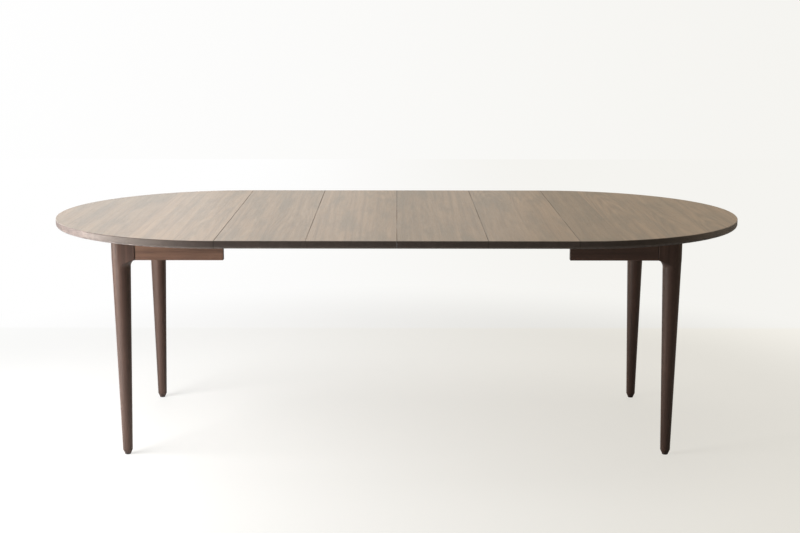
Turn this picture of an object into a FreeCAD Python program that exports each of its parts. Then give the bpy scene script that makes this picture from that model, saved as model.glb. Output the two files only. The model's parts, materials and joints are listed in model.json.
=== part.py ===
"""Extending dining table: two half-round ends on legs, four lift-out leaves and five-bar wooden slides.

Millimetres. X runs along the table, the front is -Y, +Z is up, and the origin is on the floor under its centre.
"""
import FreeCAD, Part
import Sketcher
import math
import os
import re

LEAVES = 4
STAGES = 4
PINION_TEETH = 16
COVE_SHARES = (0.35, 0.65, 0.86, 1.0)
COVE_FADE = 2.0
SHORT_ARC = 2.0

SIZES = (
    # The top
    ("table_height", 762.0),
    ("end_radius", 610.0),
    ("leaf_width", 280.0),
    ("top_thick", 25.0),
    ("top_arris", 1.5),
    ("under_round", 8.0),
    ("joint_gap", 0.2),
    ("joint_arris", 0.6),
    ("leaf_seat", 0.3),
    # The legs
    ("leg_inset_x", 335.0),
    ("leg_inset_y", 347.0),
    ("leg_head_width", 61.0),
    ("leg_foot_width", 32.0),
    ("leg_corner", 28.0),
    ("shoulder_reach", 49.0),
    ("shoulder_corner", 2.0),
    ("shoulder_cut", 30.0),
    ("cove_radius", 26.0),
    ("foot_bevel", 12.0),
    ("glide_width", 20.0),
    ("glide_height", 4.0),
    # The aprons and what fastens them
    ("apron_height", 77.0),
    ("apron_thick", 22.0),
    ("apron_setback", 1.0),
    ("apron_arris", 1.5),
    ("apron_bevel", 1.2),
    ("kerf_width", 2.4),
    ("kerf_depth", 9.0),
    ("kerf_drop", 11.0),
    ("clip_thick", 1.6),
    ("clip_width", 18.0),
    ("clip_reach", 17.0),
    ("bracket_thick", 2.5),
    ("bracket_height", 50.0),
    ("bracket_stand", 14.0),
    ("bracket_flange", 28.0),
    ("bolt_width", 8.0),
    ("bolt_bite", 30.0),
    ("bolt_tail", 16.0),
    ("nut_width", 15.0),
    ("nut_height", 9.0),
    ("wing_span", 34.0),
    ("wing_thick", 3.0),
    # The slides
    ("slide_offset", 210.0),
    ("bar_end_clear", 27.5),
    ("bar_width", 20.0),
    ("bar_depth", 40.0),
    ("bar_gap", 1.0),
    ("bar_end_cut", 12.0),
    ("dovetail_drop", 16.0),
    ("dovetail_neck", 8.0),
    ("dovetail_flare", 2.5),
    ("dovetail_depth", 7.0),
    ("dovetail_clear", 0.4),
    ("groove_land", 10.0),
    ("spare_travel", 15.0),
    ("tie_width", 40.0),
    ("tie_thick", 12.0),
    ("tie_clear", 1.5),
    ("gear_module", 2.0),
    ("gear_thick", 7.0),
    ("gear_backlash", 0.4),
    ("gear_recess", 9.0),
    ("rack_back", 2.5),
    ("rack_margin", 25.0),
    ("axle_width", 8.0),
    ("axle_head", 13.0),
    ("axle_bite", 6.0),
    ("running_fit", 0.05),
    # The leaf locks and cleats
    ("cleat_width", 30.0),
    ("cleat_height", 25.0),
    ("cleat_inset", 30.0),
    ("cleat_clear", 1.5),
    ("lock_offset", 287.0),
    ("lock_setback", 20.0),
    ("stud_setback", 22.0),
    ("plate_thick", 2.0),
    ("plate_length", 30.0),
    ("plate_width", 26.0),
    ("lever_width", 18.0),
    ("lever_thick", 3.0),
    ("lever_nose", 10.0),
    ("lever_round", 5.0),
    ("lever_tab", 7.0),
    ("lever_play", 0.3),
    ("pivot_width", 8.0),
    ("stud_width", 6.0),
    ("head_width", 13.0),
    ("head_thick", 2.0),
)

# Places that several pieces share, as formulas of the sizes
UNDERSIDE = "(table_height - top_thick)"
SPLIT = f"({LEAVES} / 2 * leaf_width)"
STAGE = f"({LEAVES} * leaf_width / {STAGES})"
END_EDGE = f"({SPLIT} + joint_gap / 2)"
LEG_X = f"({SPLIT} + leg_inset_x)"
LEG_Y = "leg_inset_y"
LEG_HALF = "(leg_head_width / 2)"
APRON_FACE = f"({LEG_HALF} - apron_setback)"
APRON_BOTTOM = f"({UNDERSIDE} - apron_height)"
APRON_INNER = f"({APRON_FACE} - apron_thick)"
LANE = "(bar_width + bar_gap)"
BAR_BOTTOM = f"({UNDERSIDE} - bar_depth)"
BAR_LENGTH = f"(2 * (leg_inset_x + {APRON_INNER} - bar_end_clear))"
TONGUE_START = f"({BAR_LENGTH} / 2 - groove_land - {STAGE} - spare_travel)"
LOCK_LEVEL = f"({UNDERSIDE} - plate_thick)"
LOCK_REACH = "(lock_setback + joint_gap + stud_setback)"
BRACKET_LINE = "(2 * shoulder_reach - shoulder_cut + bracket_stand * sqrt(2))"
PITCH_RADIUS = f"(gear_module * {PINION_TEETH} / 2)"
GEAR_BOTTOM = f"({BAR_BOTTOM} + gear_recess - gear_thick)"
RACK_DEPTH = f"({PITCH_RADIUS} + 1.25 * gear_module + rack_back - bar_width / 2 - bar_gap)"

document = FreeCAD.newDocument("extending_table")
sheet = document.addObject("Spreadsheet::Sheet", "Sizes")
for row, (alias, value) in enumerate(SIZES, start=1):
    sheet.set(f"A{row}", alias)
    sheet.set(f"B{row}", str(value))
    sheet.setAlias(f"B{row}", alias)
document.recompute()

WORDS = re.compile(r"\b(" + "|".join(alias for alias, _ in SIZES) + r")\b")
nodes = {}


def sized(formula):
    """Writes a formula of sizes in the form the sheet's readers use."""
    return WORDS.sub(r"Sizes.\1", formula)


def amount(formula):
    """Works out a formula of sizes as a number."""
    return float(sheet.evalExpression(sized(formula)))


def bind(thing, **formulas):
    """Binds properties of a document object to formulas of sizes."""
    for name, formula in formulas.items():
        thing.setExpression(name, sized(formula))


def place(thing, x="0", y="0", z="0", rotation=None):
    """Binds the place of a document object, with a fixed turn where one is given."""
    if rotation is not None:
        thing.Placement = FreeCAD.Placement(FreeCAD.Vector(), rotation)
    for axis, formula in (("x", x), ("y", y), ("z", z)):
        thing.setExpression(f"Placement.Base.{axis}", sized(formula))


def node(thing, label):
    """Names a finished sub-part, which is written under that name."""
    thing.Label = label
    nodes[label] = thing
    return thing


def new_body(name):
    return document.addObject("PartDesign::Body", name)


def sketch_on(body, plane, offset="0"):
    """Adds a sketch on one of the body's own planes, moved along that plane's normal."""
    sketch = body.newObject("Sketcher::SketchObject", f"{body.Name}_sketch")
    origin_plane = next(f for f in body.Origin.OriginFeatures if f.Role == plane)
    sketch.AttachmentSupport = [(origin_plane, "")]
    sketch.MapMode = "FlatFace"
    sketch.setExpression("AttachmentOffset.Base.z", sized(offset))
    return sketch


def hold(sketch, kind, formula, *where):
    """Adds a dimension whose value follows a formula of sizes."""
    index = sketch.addConstraint(Sketcher.Constraint(kind, *where, amount(formula)))
    sketch.setExpression(f"Constraints[{index}]", sized(formula))


def draw_polygon(sketch, corners):
    """Draws a closed outline of straight lines through corners given as formulas."""
    points = [FreeCAD.Vector(amount(x), amount(y), 0) for x, y in corners]
    count = len(points)
    for i in range(count):
        sketch.addGeometry(Part.LineSegment(points[i], points[(i + 1) % count]))
    for i in range(count):
        sketch.addConstraint(Sketcher.Constraint("Coincident", i, 2, (i + 1) % count, 1))
    for i, (x, y) in enumerate(corners):
        hold(sketch, "DistanceX", x, -1, 1, i, 1)
        hold(sketch, "DistanceY", y, -1, 1, i, 1)
    return sketch


def draw_circle(sketch, x, y, radius):
    centre = FreeCAD.Vector(amount(x), amount(y), 0)
    index = sketch.addGeometry(Part.Circle(centre, FreeCAD.Vector(0, 0, 1), amount(radius)))
    hold(sketch, "DistanceX", x, -1, 1, index, 3)
    hold(sketch, "DistanceY", y, -1, 1, index, 3)
    hold(sketch, "Radius", radius, index)
    return sketch


def draw_half_disc(sketch, edge_x, radius):
    """Draws a half disc that bulges towards -X from a straight edge at edge_x."""
    x = amount(edge_x)
    r = amount(radius)
    circle = Part.Circle(FreeCAD.Vector(x, 0, 0), FreeCAD.Vector(0, 0, 1), r)
    arc = sketch.addGeometry(Part.ArcOfCircle(circle, math.pi / 2, 3 * math.pi / 2))
    line = sketch.addGeometry(Part.LineSegment(FreeCAD.Vector(x, -r, 0), FreeCAD.Vector(x, r, 0)))
    sketch.addConstraint(Sketcher.Constraint("Coincident", arc, 2, line, 1))
    sketch.addConstraint(Sketcher.Constraint("Coincident", line, 2, arc, 1))
    sketch.addConstraint(Sketcher.Constraint("Vertical", line))
    sketch.addConstraint(Sketcher.Constraint("PointOnObject", arc, 3, line))
    hold(sketch, "DistanceX", edge_x, -1, 1, arc, 3)
    hold(sketch, "DistanceY", "0", -1, 1, arc, 3)
    hold(sketch, "Radius", radius, arc)
    return sketch


def draw_rounded_square(sketch, low, high, low_corner, corner):
    """Draws a square from low to high on both axes, with one radius at its low corner and one at the others."""
    a = amount(low)
    b = amount(high)
    radii = [amount(low_corner)] + [amount(corner)] * 3
    corners = [(a, a), (b, a), (b, b), (a, b)]
    inward = [(1, 1), (-1, 1), (-1, -1), (1, -1)]
    up = FreeCAD.Vector(0, 0, 1)
    for i in range(4):
        following = (i + 1) % 4
        x0, y0 = corners[i]
        x1, y1 = corners[following]
        along = FreeCAD.Vector(x1 - x0, y1 - y0, 0).normalize()
        start = FreeCAD.Vector(x0, y0, 0) + along * radii[i]
        end = FreeCAD.Vector(x1, y1, 0) - along * radii[following]
        sketch.addGeometry(Part.LineSegment(start, end))
        radius = radii[following]
        middle = FreeCAD.Vector(
            x1 + inward[following][0] * radius, y1 + inward[following][1] * radius, 0
        )
        first = math.atan2(end.y - middle.y, end.x - middle.x)
        circle = Part.Circle(middle, up, radius)
        sketch.addGeometry(Part.ArcOfCircle(circle, first, first + math.pi / 2))
    for i in range(4):
        line = 2 * i
        arc = line + 1
        sketch.addConstraint(Sketcher.Constraint("Tangent", line, 2, arc, 1))
        sketch.addConstraint(Sketcher.Constraint("Tangent", arc, 2, (line + 2) % 8, 1))
        hold(sketch, "Radius", low_corner if i == 3 else corner, arc)
    for line, direction in ((0, "Horizontal"), (2, "Vertical"), (4, "Horizontal"), (6, "Vertical")):
        sketch.addConstraint(Sketcher.Constraint(direction, line))
    hold(sketch, "DistanceY", low, -1, 1, 0, 1)
    hold(sketch, "DistanceX", high, -1, 1, 2, 1)
    hold(sketch, "DistanceY", high, -1, 1, 4, 1)
    hold(sketch, "DistanceX", low, -1, 1, 6, 1)
    return sketch


def draw_split_circle(sketch, radius):
    """Draws a circle as four short arcs at its sides and four long ones, to pair with a rounded square."""
    circle = Part.Circle(FreeCAD.Vector(0, 0, 0), FreeCAD.Vector(0, 0, 1), amount(radius))
    short = math.radians(SHORT_ARC / 2)
    for side in range(4):
        middle = (side - 1) * math.pi / 2
        sketch.addGeometry(Part.ArcOfCircle(circle, middle - short, middle + short))
        sketch.addGeometry(Part.ArcOfCircle(circle, middle + short, middle + math.pi / 2 - short))
    for arc in range(8):
        sketch.addConstraint(Sketcher.Constraint("Coincident", arc, 3, -1, 1))
    for arc in range(7):
        sketch.addConstraint(Sketcher.Constraint("Coincident", arc, 2, arc + 1, 1))
    hold(sketch, "Radius", radius, 0)
    half_chord = f"({radius} * {math.sin(short):.6f})"
    for side in range(4):
        across = "DistanceX" if side % 2 == 0 else "DistanceY"
        start, end = (f"-{half_chord}", half_chord) if side < 2 else (half_chord, f"-{half_chord}")
        hold(sketch, across, start, -1, 1, 2 * side, 1)
        hold(sketch, across, end, -1, 1, 2 * side, 2)
    hold(sketch, "DistanceX", f"-{half_chord}", -1, 1, 7, 2)
    return sketch


def pad(body, sketch, length):
    """Pads a sketch along its normal."""
    feature = body.newObject("PartDesign::Pad", f"{body.Name}_pad")
    feature.Profile = sketch
    bind(feature, Length=length)
    sketch.Visibility = False
    return feature


def pocket(body, sketch, length, upwards=False):
    """Cuts a sketch against its normal, or along it where upwards is set, and checks that it took material."""
    document.recompute()
    before = body.Shape.Volume
    feature = body.newObject("PartDesign::Pocket", f"{body.Name}_pocket")
    feature.Profile = sketch
    feature.Reversed = upwards
    bind(feature, Length=length)
    document.recompute()
    if not body.Shape.Volume < before - 1.0:
        raise RuntimeError(f"a pocket of {body.Name} cut nothing")
    return feature


def dress(body, kind, wanted, **formulas):
    """Rounds or bevels the edges of the body's last feature that a test picks out."""
    document.recompute()
    base = body.Tip
    names = [f"Edge{i}" for i, edge in enumerate(base.Shape.Edges, start=1) if wanted(edge)]
    if not names:
        raise RuntimeError(f"no edge of {body.Name} was found to dress")
    feature = body.newObject(f"PartDesign::{kind}", f"{body.Name}_{kind.lower()}")
    feature.Base = (base, names)
    bind(feature, **formulas)
    document.recompute()
    return feature


def near(value, target):
    return abs(value - target) < 0.01


def edge_box(edge):
    box = edge.BoundBox
    return box.XMin, box.XMax, box.YMin, box.YMax, box.ZMin, box.ZMax


def runs_along_x(edge, y=None, z=None):
    """Says whether a straight edge runs along X, at the given y and z."""
    x0, x1, y0, y1, z0, z1 = edge_box(edge)
    straight = x1 - x0 > 1 and near(y0, y1) and near(z0, z1)
    return straight and (y is None or near(y0, y)) and (z is None or near(z0, z))


def runs_along_y(edge, x=None, z=None):
    x0, x1, y0, y1, z0, z1 = edge_box(edge)
    straight = y1 - y0 > 1 and near(x0, x1) and near(z0, z1)
    return straight and (x is None or near(x0, x)) and (z is None or near(z0, z))


def runs_along_z(edge, x=None, y=None):
    x0, x1, y0, y1, z0, z1 = edge_box(edge)
    straight = z1 - z0 > 1 and near(x0, x1) and near(y0, y1)
    return straight and (x is None or near(x0, x)) and (y is None or near(y0, y))


def mirror(source, name, normal):
    """Mirrors an object in the plane through the origin with the given normal."""
    feature = document.addObject("Part::Mirroring", name)
    feature.Source = source
    feature.Base = FreeCAD.Vector(0, 0, 0)
    feature.Normal = normal
    return feature


def mirror_back(source, name):
    return mirror(source, name, FreeCAD.Vector(0, 1, 0))


def mirror_right(source, name):
    return mirror(source, name, FreeCAD.Vector(1, 0, 0))


def group(name, pieces):
    """Joins separate solids of one kind into one sub-part, without fusing them."""
    feature = document.addObject("Part::Compound", name)
    feature.Links = pieces
    return feature


def front_and_back(name, pieces):
    """Makes one sub-part of some front pieces and their mirror images at the back."""
    copies = [mirror_back(piece, f"{piece.Name}_back") for piece in pieces]
    return group(name, pieces + copies)


def fuse(name, pieces):
    feature = document.addObject("Part::MultiFuse", name)
    feature.Shapes = pieces
    feature.Refine = True
    return feature


def box(name, size, x, y, z):
    feature = document.addObject("Part::Box", name)
    length, width, height = size
    bind(feature, Length=length, Width=width, Height=height)
    place(feature, x, y, z)
    return feature


def cylinder(name, radius, height, x, y, z):
    feature = document.addObject("Part::Cylinder", name)
    bind(feature, Radius=radius, Height=height)
    place(feature, x, y, z)
    return feature


DIAGONAL = FreeCAD.Rotation(FreeCAD.Vector(0, 0, 1), FreeCAD.Vector(1, 1, 0))


# The tops of the two ends and the leaves

def make_end_top():
    body = new_body("left_top")
    pad(body, draw_half_disc(sketch_on(body, "XY_Plane", UNDERSIDE), f"-{END_EDGE}", "end_radius"), "top_thick")
    top = amount("table_height")
    under = amount(UNDERSIDE)
    edge_x = -amount(END_EDGE)

    def rim_at(height):
        return lambda e: near(edge_box(e)[4], height) and near(edge_box(e)[5], height) and e.BoundBox.XLength > 1

    dress(body, "Chamfer", lambda e: runs_along_y(e, edge_x, top), Size="joint_arris")
    dress(body, "Fillet", rim_at(under), Radius="under_round")
    dress(body, "Chamfer", rim_at(top), Size="top_arris")
    node(body, "left_top")
    node(mirror_right(body, "right_top"), "right_top")


def make_leaf(number):
    body = new_body(f"leaf_{number}_panel")
    half = "((leaf_width - joint_gap) / 2)"
    outline = [(f"-{half}", "-end_radius"), (half, "-end_radius"), (half, "end_radius"), (f"-{half}", "end_radius")]
    pad(
        body,
        draw_polygon(sketch_on(body, "XY_Plane", f"{UNDERSIDE} + leaf_seat"), outline),
        "top_thick - leaf_seat",
    )
    top = amount("table_height")
    under = amount(f"{UNDERSIDE} + leaf_seat")
    dress(body, "Fillet", lambda e: runs_along_x(e, z=under), Radius="under_round")
    dress(body, "Chamfer", lambda e: runs_along_x(e, z=top), Size="top_arris")
    dress(body, "Chamfer", lambda e: runs_along_y(e, z=top), Size="joint_arris")
    place(body, x=leaf_centre(number))
    return node(body, body.Name)


def leaf_centre(number):
    return f"({number - (LEAVES + 1) / 2} * leaf_width)"


def make_cleats(number):
    """Two cleats that lie just inside the front and back slides and keep the leaf in line."""
    body = new_body(f"leaf_{number}_front_cleat")
    outer = f"(-(slide_offset - 2 * {LANE} - bar_width / 2 - cleat_clear))"
    inner = f"({outer} + cleat_width)"
    top = f"({UNDERSIDE} + leaf_seat)"
    bottom = f"({top} - cleat_height)"
    bevel = "cleat_height / 4"
    outline = [
        (outer, top),
        (outer, f"{bottom} + {bevel}"),
        (f"{outer} + {bevel}", bottom),
        (f"{inner} - {bevel}", bottom),
        (inner, f"{bottom} + {bevel}"),
        (inner, top),
    ]
    length = "(leaf_width - 2 * cleat_inset)"
    pad(body, draw_polygon(sketch_on(body, "YZ_Plane", f"-{length} / 2"), outline), length)
    place(body, x=leaf_centre(number))
    name = f"leaf_{number}_cleats"
    return node(front_and_back(name, [body]), name)


# The legs

def leg_half_at(height):
    """The half width of the tapered leg at a height, as a formula."""
    start = "(glide_height + foot_bevel)"
    return (
        f"(leg_foot_width / 2 + (leg_head_width - leg_foot_width) / 2"
        f" * ({height} - {start}) / ({APRON_BOTTOM} - {start}))"
    )


def loft(body, sections):
    feature = body.newObject("PartDesign::AdditiveLoft", f"{body.Name}_loft")
    feature.Profile = sections[0]
    feature.Sections = sections[1:]
    document.recompute()
    return feature


def revolve(body, profile):
    """Turns a profile that lies in the XZ plane once round the body's Z axis."""
    feature = body.newObject("PartDesign::Revolution", f"{body.Name}_turned")
    feature.Profile = profile
    axis = next(f for f in body.Origin.OriginFeatures if f.Role == "Z_Axis")
    feature.ReferenceAxis = (axis, [""])
    feature.Angle = 360
    document.recompute()
    return feature


def make_leg():
    """A turned, tapered leg with a head that coves carry out to the two aprons."""
    body = new_body("leg_blank")
    foot = "(glide_height + foot_bevel)"
    start_half = leg_half_at(f"({APRON_BOTTOM} - cove_radius)")
    centre_x = f"({start_half} + cove_radius)"
    rise = f"sqrt(cove_radius ^ 2 - ({centre_x} - shoulder_reach) ^ 2)"
    centre_z = f"({APRON_BOTTOM} - {rise})"
    turned = [
        ("0", "glide_height"),
        ("glide_width / 2 + 0.5", "glide_height"),
        (leg_half_at(foot), foot),
        (leg_half_at(centre_z), centre_z),
        ("0", centre_z),
    ]
    revolve(body, draw_polygon(sketch_on(body, "XZ_Plane"), turned))

    def cove_ring(share):
        """A section this share of the way up the cove: nearly round at first, drawn out to the aprons at the top."""
        height = f"({centre_z} + {share} * {rise})"
        reach = f"({centre_x} - sqrt(cove_radius ^ 2 - ({share} * {rise}) ^ 2))"
        fade = 1 - share ** COVE_FADE
        inner = f"(shoulder_corner + ({start_half} - shoulder_corner) * {fade:.4f})"
        outer = f"(leg_corner + ({start_half} - leg_corner) * {fade:.4f})"
        section = sketch_on(body, "XY_Plane", height)
        return draw_rounded_square(section, f"-{leg_half_at(height)}", reach, outer, inner)

    neck = draw_split_circle(sketch_on(body, "XY_Plane", centre_z), leg_half_at(centre_z))
    loft(body, [neck] + [cove_ring(share) for share in COVE_SHARES])

    head = draw_rounded_square(
        sketch_on(body, "XY_Plane", APRON_BOTTOM), f"-{LEG_HALF}", "shoulder_reach", "leg_corner", "shoulder_corner"
    )
    pad(body, head, "apron_height")
    cut = sketch_on(body, "XY_Plane", UNDERSIDE)
    near_side = "(shoulder_reach - shoulder_cut)"
    far_side = "(shoulder_reach + 5)"
    corner_out = [(far_side, f"{near_side} - 5"), (far_side, far_side), (f"{near_side} - 5", far_side)]
    pocket(body, draw_polygon(cut, corner_out), f"apron_height + {rise}")
    place(body, f"-{LEG_X}", f"-{LEG_Y}")
    bore = cylinder("leg_bore", "bolt_width / 2 + running_fit", "bolt_bite + 10", "0", "0", "0")
    start = bolt_start("bolt_bite")
    place(bore, f"-{LEG_X} + {start}", f"-{LEG_Y} + {start}", bolt_height(), DIAGONAL)
    leg = document.addObject("Part::Cut", "left_front_leg")
    leg.Base = body
    leg.Tool = bore
    node(leg, "left_front_leg")
    rear = node(mirror_back(leg, "left_rear_leg"), "left_rear_leg")
    node(mirror_right(leg, "right_front_leg"), "right_front_leg")
    node(mirror_right(rear, "right_rear_leg"), "right_rear_leg")


def bolt_start(bite):
    """The x and y from the leg's axis at which the bolt begins, this deep behind the corner's flat."""
    return f"(shoulder_reach - shoulder_cut / 2 - {bite} / sqrt(2))"


def bolt_height():
    return f"({UNDERSIDE} - apron_height / 2)"


def make_glides():
    body = new_body("left_front_glide")
    outline = draw_circle(sketch_on(body, "XY_Plane"), "0", "0", "glide_width / 2")
    pad(body, outline, "glide_height")
    dress(body, "Chamfer", lambda e: near(e.BoundBox.ZMax, 0), Size="glide_height / 3")
    place(body, f"-{LEG_X}", f"-{LEG_Y}")
    glides = node(front_and_back("left_glides", [body]), "left_glides")
    node(mirror_right(glides, "right_glides"), "right_glides")


# The aprons

def apron_outline(face, inward):
    """An apron's section with a saw kerf along its inner face. The face and the inward sign are formulas."""
    inner = f"({face} + {inward} * apron_thick)"
    deep = f"({inner} - {inward} * kerf_depth)"
    kerf_top = f"({UNDERSIDE} - kerf_drop)"
    kerf_bottom = f"({kerf_top} - kerf_width)"
    return [
        (face, APRON_BOTTOM),
        (inner, APRON_BOTTOM),
        (inner, kerf_bottom),
        (deep, kerf_bottom),
        (deep, kerf_top),
        (inner, kerf_top),
        (inner, UNDERSIDE),
        (face, UNDERSIDE),
    ]


def make_side_aprons():
    body = new_body("left_front_apron")
    start = f"(-({LEG_X} - shoulder_reach))"
    face = f"(-({LEG_Y} + {APRON_FACE}))"
    outline = draw_polygon(sketch_on(body, "YZ_Plane", start), apron_outline(face, "1"))
    pad(body, outline, f"-{END_EDGE} - {start}")
    bottom = amount(APRON_BOTTOM)
    face_y = amount(face)
    dress(body, "Fillet", lambda e: runs_along_x(e, z=bottom), Radius="apron_arris")
    ends = (amount(start), -amount(END_EDGE))
    dress(
        body, "Chamfer",
        lambda e: runs_along_z(e, y=face_y) and any(near(e.BoundBox.XMin, x) for x in ends),
        Size="apron_bevel",
    )
    front = node(body, "left_front_apron")
    rear = node(mirror_back(front, "left_rear_apron"), "left_rear_apron")
    node(mirror_right(front, "right_front_apron"), "right_front_apron")
    node(mirror_right(rear, "right_rear_apron"), "right_rear_apron")


def make_end_apron():
    body = new_body("left_end_apron")
    half = f"({LEG_Y} - shoulder_reach)"
    face = f"(-({LEG_X} + {APRON_FACE}))"
    outline = draw_polygon(sketch_on(body, "XZ_Plane", f"-{half}"), apron_outline(face, "1"))
    pad(body, outline, f"2 * {half}")
    bottom = amount(APRON_BOTTOM)
    face_x = amount(face)
    dress(body, "Fillet", lambda e: runs_along_y(e, z=bottom), Radius="apron_arris")
    dress(body, "Chamfer", lambda e: runs_along_z(e, x=face_x), Size="apron_bevel")
    node(body, "left_end_apron")
    node(mirror_right(body, "right_end_apron"), "right_end_apron")


def clip_outline(inner, inward):
    """A Z-shaped clip: one foot in the kerf, one flat under the top."""
    low = f"({UNDERSIDE} - kerf_drop - kerf_width / 2 - clip_thick / 2)"
    high = f"({low} + clip_thick)"
    deep = f"({inner} - {inward} * (kerf_depth - 1))"
    back = f"({inner} + {inward} * clip_thick)"
    tip = f"({inner} + {inward} * clip_reach)"
    return [
        (deep, low),
        (back, low),
        (back, f"{UNDERSIDE} - clip_thick"),
        (tip, f"{UNDERSIDE} - clip_thick"),
        (tip, UNDERSIDE),
        (inner, UNDERSIDE),
        (inner, high),
        (deep, high),
    ]


def make_clips():
    side = []
    inner_y = f"(-({LEG_Y} + {APRON_INNER}))"
    for number, share in enumerate((0.22, 0.8), start=1):
        body = new_body(f"left_side_clip_{number}")
        start = f"(-{SPLIT} - {share} * (leg_inset_x - shoulder_reach) - clip_width / 2)"
        pad(body, draw_polygon(sketch_on(body, "YZ_Plane", start), clip_outline(inner_y, "1")), "clip_width")
        side.append(body)
    body = new_body("left_end_clip")
    inner_x = f"(-({LEG_X} + {APRON_INNER}))"
    sketch = sketch_on(body, "XZ_Plane", "leg_inset_y / 4")
    pad(body, draw_polygon(sketch, clip_outline(inner_x, "1")), "clip_width")
    clips = node(front_and_back("left_top_clips", side + [body]), "left_top_clips")
    node(mirror_right(clips, "right_top_clips"), "right_top_clips")


def make_brackets():
    """A bent plate across each inside corner, with a bolt from the leg and a wing nut that draws the leg in."""
    body = new_body("left_front_bracket")
    wall = f"(-{APRON_INNER})"
    foot = f"({BRACKET_LINE} - {wall})"
    far = f"({foot} + bracket_flange)"
    inside = f"({wall} + bracket_thick)"
    bend = f"({foot} + bracket_thick * (sqrt(2) - 1))"
    outline = [
        (far, wall),
        (foot, wall),
        (wall, foot),
        (wall, far),
        (inside, far),
        (inside, bend),
        (bend, inside),
        (far, inside),
    ]
    level = f"({bolt_height()} - bracket_height / 2)"
    pad(body, draw_polygon(sketch_on(body, "XY_Plane", level), outline), "bracket_height")
    place(body, f"-{LEG_X}", f"-{LEG_Y}")
    face = f"({BRACKET_LINE} / 2)"
    hole = cylinder("bracket_bore", "bolt_width / 2 + 0.4", "bracket_thick + 10", "0", "0", "0")
    before = f"({face} - 5 / sqrt(2))"
    place(hole, f"-{LEG_X} + {before}", f"-{LEG_Y} + {before}", bolt_height(), DIAGONAL)
    bracket = document.addObject("Part::Cut", "left_front_corner_bracket")
    bracket.Base = body
    bracket.Tool = hole
    brackets = node(front_and_back("left_corner_brackets", [bracket]), "left_corner_brackets")
    node(mirror_right(brackets, "right_corner_brackets"), "right_corner_brackets")

    bolt = new_body("left_front_bolt")
    length = "(bolt_bite + bracket_stand + bracket_thick + bolt_tail)"
    pad(bolt, draw_circle(sketch_on(bolt, "XY_Plane"), "0", "0", "bolt_width / 2"), length)
    dress(bolt, "Chamfer", lambda e: near(e.BoundBox.ZMin, amount(length)), Size="bolt_width / 8")
    start = bolt_start("bolt_bite")
    place(bolt, f"-{LEG_X} + {start}", f"-{LEG_Y} + {start}", bolt_height(), DIAGONAL)
    bolts = node(front_and_back("left_hanger_bolts", [bolt]), "left_hanger_bolts")
    node(mirror_right(bolts, "right_hanger_bolts"), "right_hanger_bolts")

    nut = new_body("left_front_nut")
    pad(nut, draw_circle(sketch_on(nut, "XY_Plane"), "0", "0", "nut_width / 2"), "nut_height")
    wing = [
        ("nut_width / 4", "1"),
        ("nut_width / 2 + 2", "1"),
        ("wing_span / 2", "nut_height * 0.9"),
        ("wing_span / 2", "nut_height * 1.5"),
        ("wing_span / 2 - 7", "nut_height * 1.5"),
        ("nut_width / 4", "nut_height * 0.8"),
    ]
    for sign in ("1", "-1"):
        outline = [(f"{sign} * ({x})", z) for x, z in wing]
        pad(nut, draw_polygon(sketch_on(nut, "XZ_Plane", "-wing_thick / 2"), outline), "wing_thick")
    top = draw_circle(sketch_on(nut, "XY_Plane", "nut_height"), "0", "0", "bolt_width / 2 + running_fit")
    pocket(nut, top, "nut_height")
    seat = f"({face} + bracket_thick / sqrt(2))"
    place(nut, f"-{LEG_X} + {seat}", f"-{LEG_Y} + {seat}", bolt_height(), DIAGONAL)
    nuts = node(front_and_back("left_wing_nuts", [nut]), "left_wing_nuts")
    node(mirror_right(nuts, "right_wing_nuts"), "right_wing_nuts")


# The slides: five bars in each set, from the outermost lane to the innermost

def dovetail(side_y, outward, reach, ease):
    """A dovetail in section, growing from a bar's side. Outward is the sign along Y, ease widens it for a groove."""
    middle = f"({UNDERSIDE} - dovetail_drop)"
    neck = f"(dovetail_neck / 2 + {ease})"
    head = f"(dovetail_neck / 2 + dovetail_flare + {ease})"
    tip = f"({side_y} + {outward} * {reach})"
    return [
        (side_y, f"{middle} - {neck}"),
        (tip, f"{middle} - {head}"),
        (tip, f"{middle} + {head}"),
        (side_y, f"{middle} + {neck}"),
    ]


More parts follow.
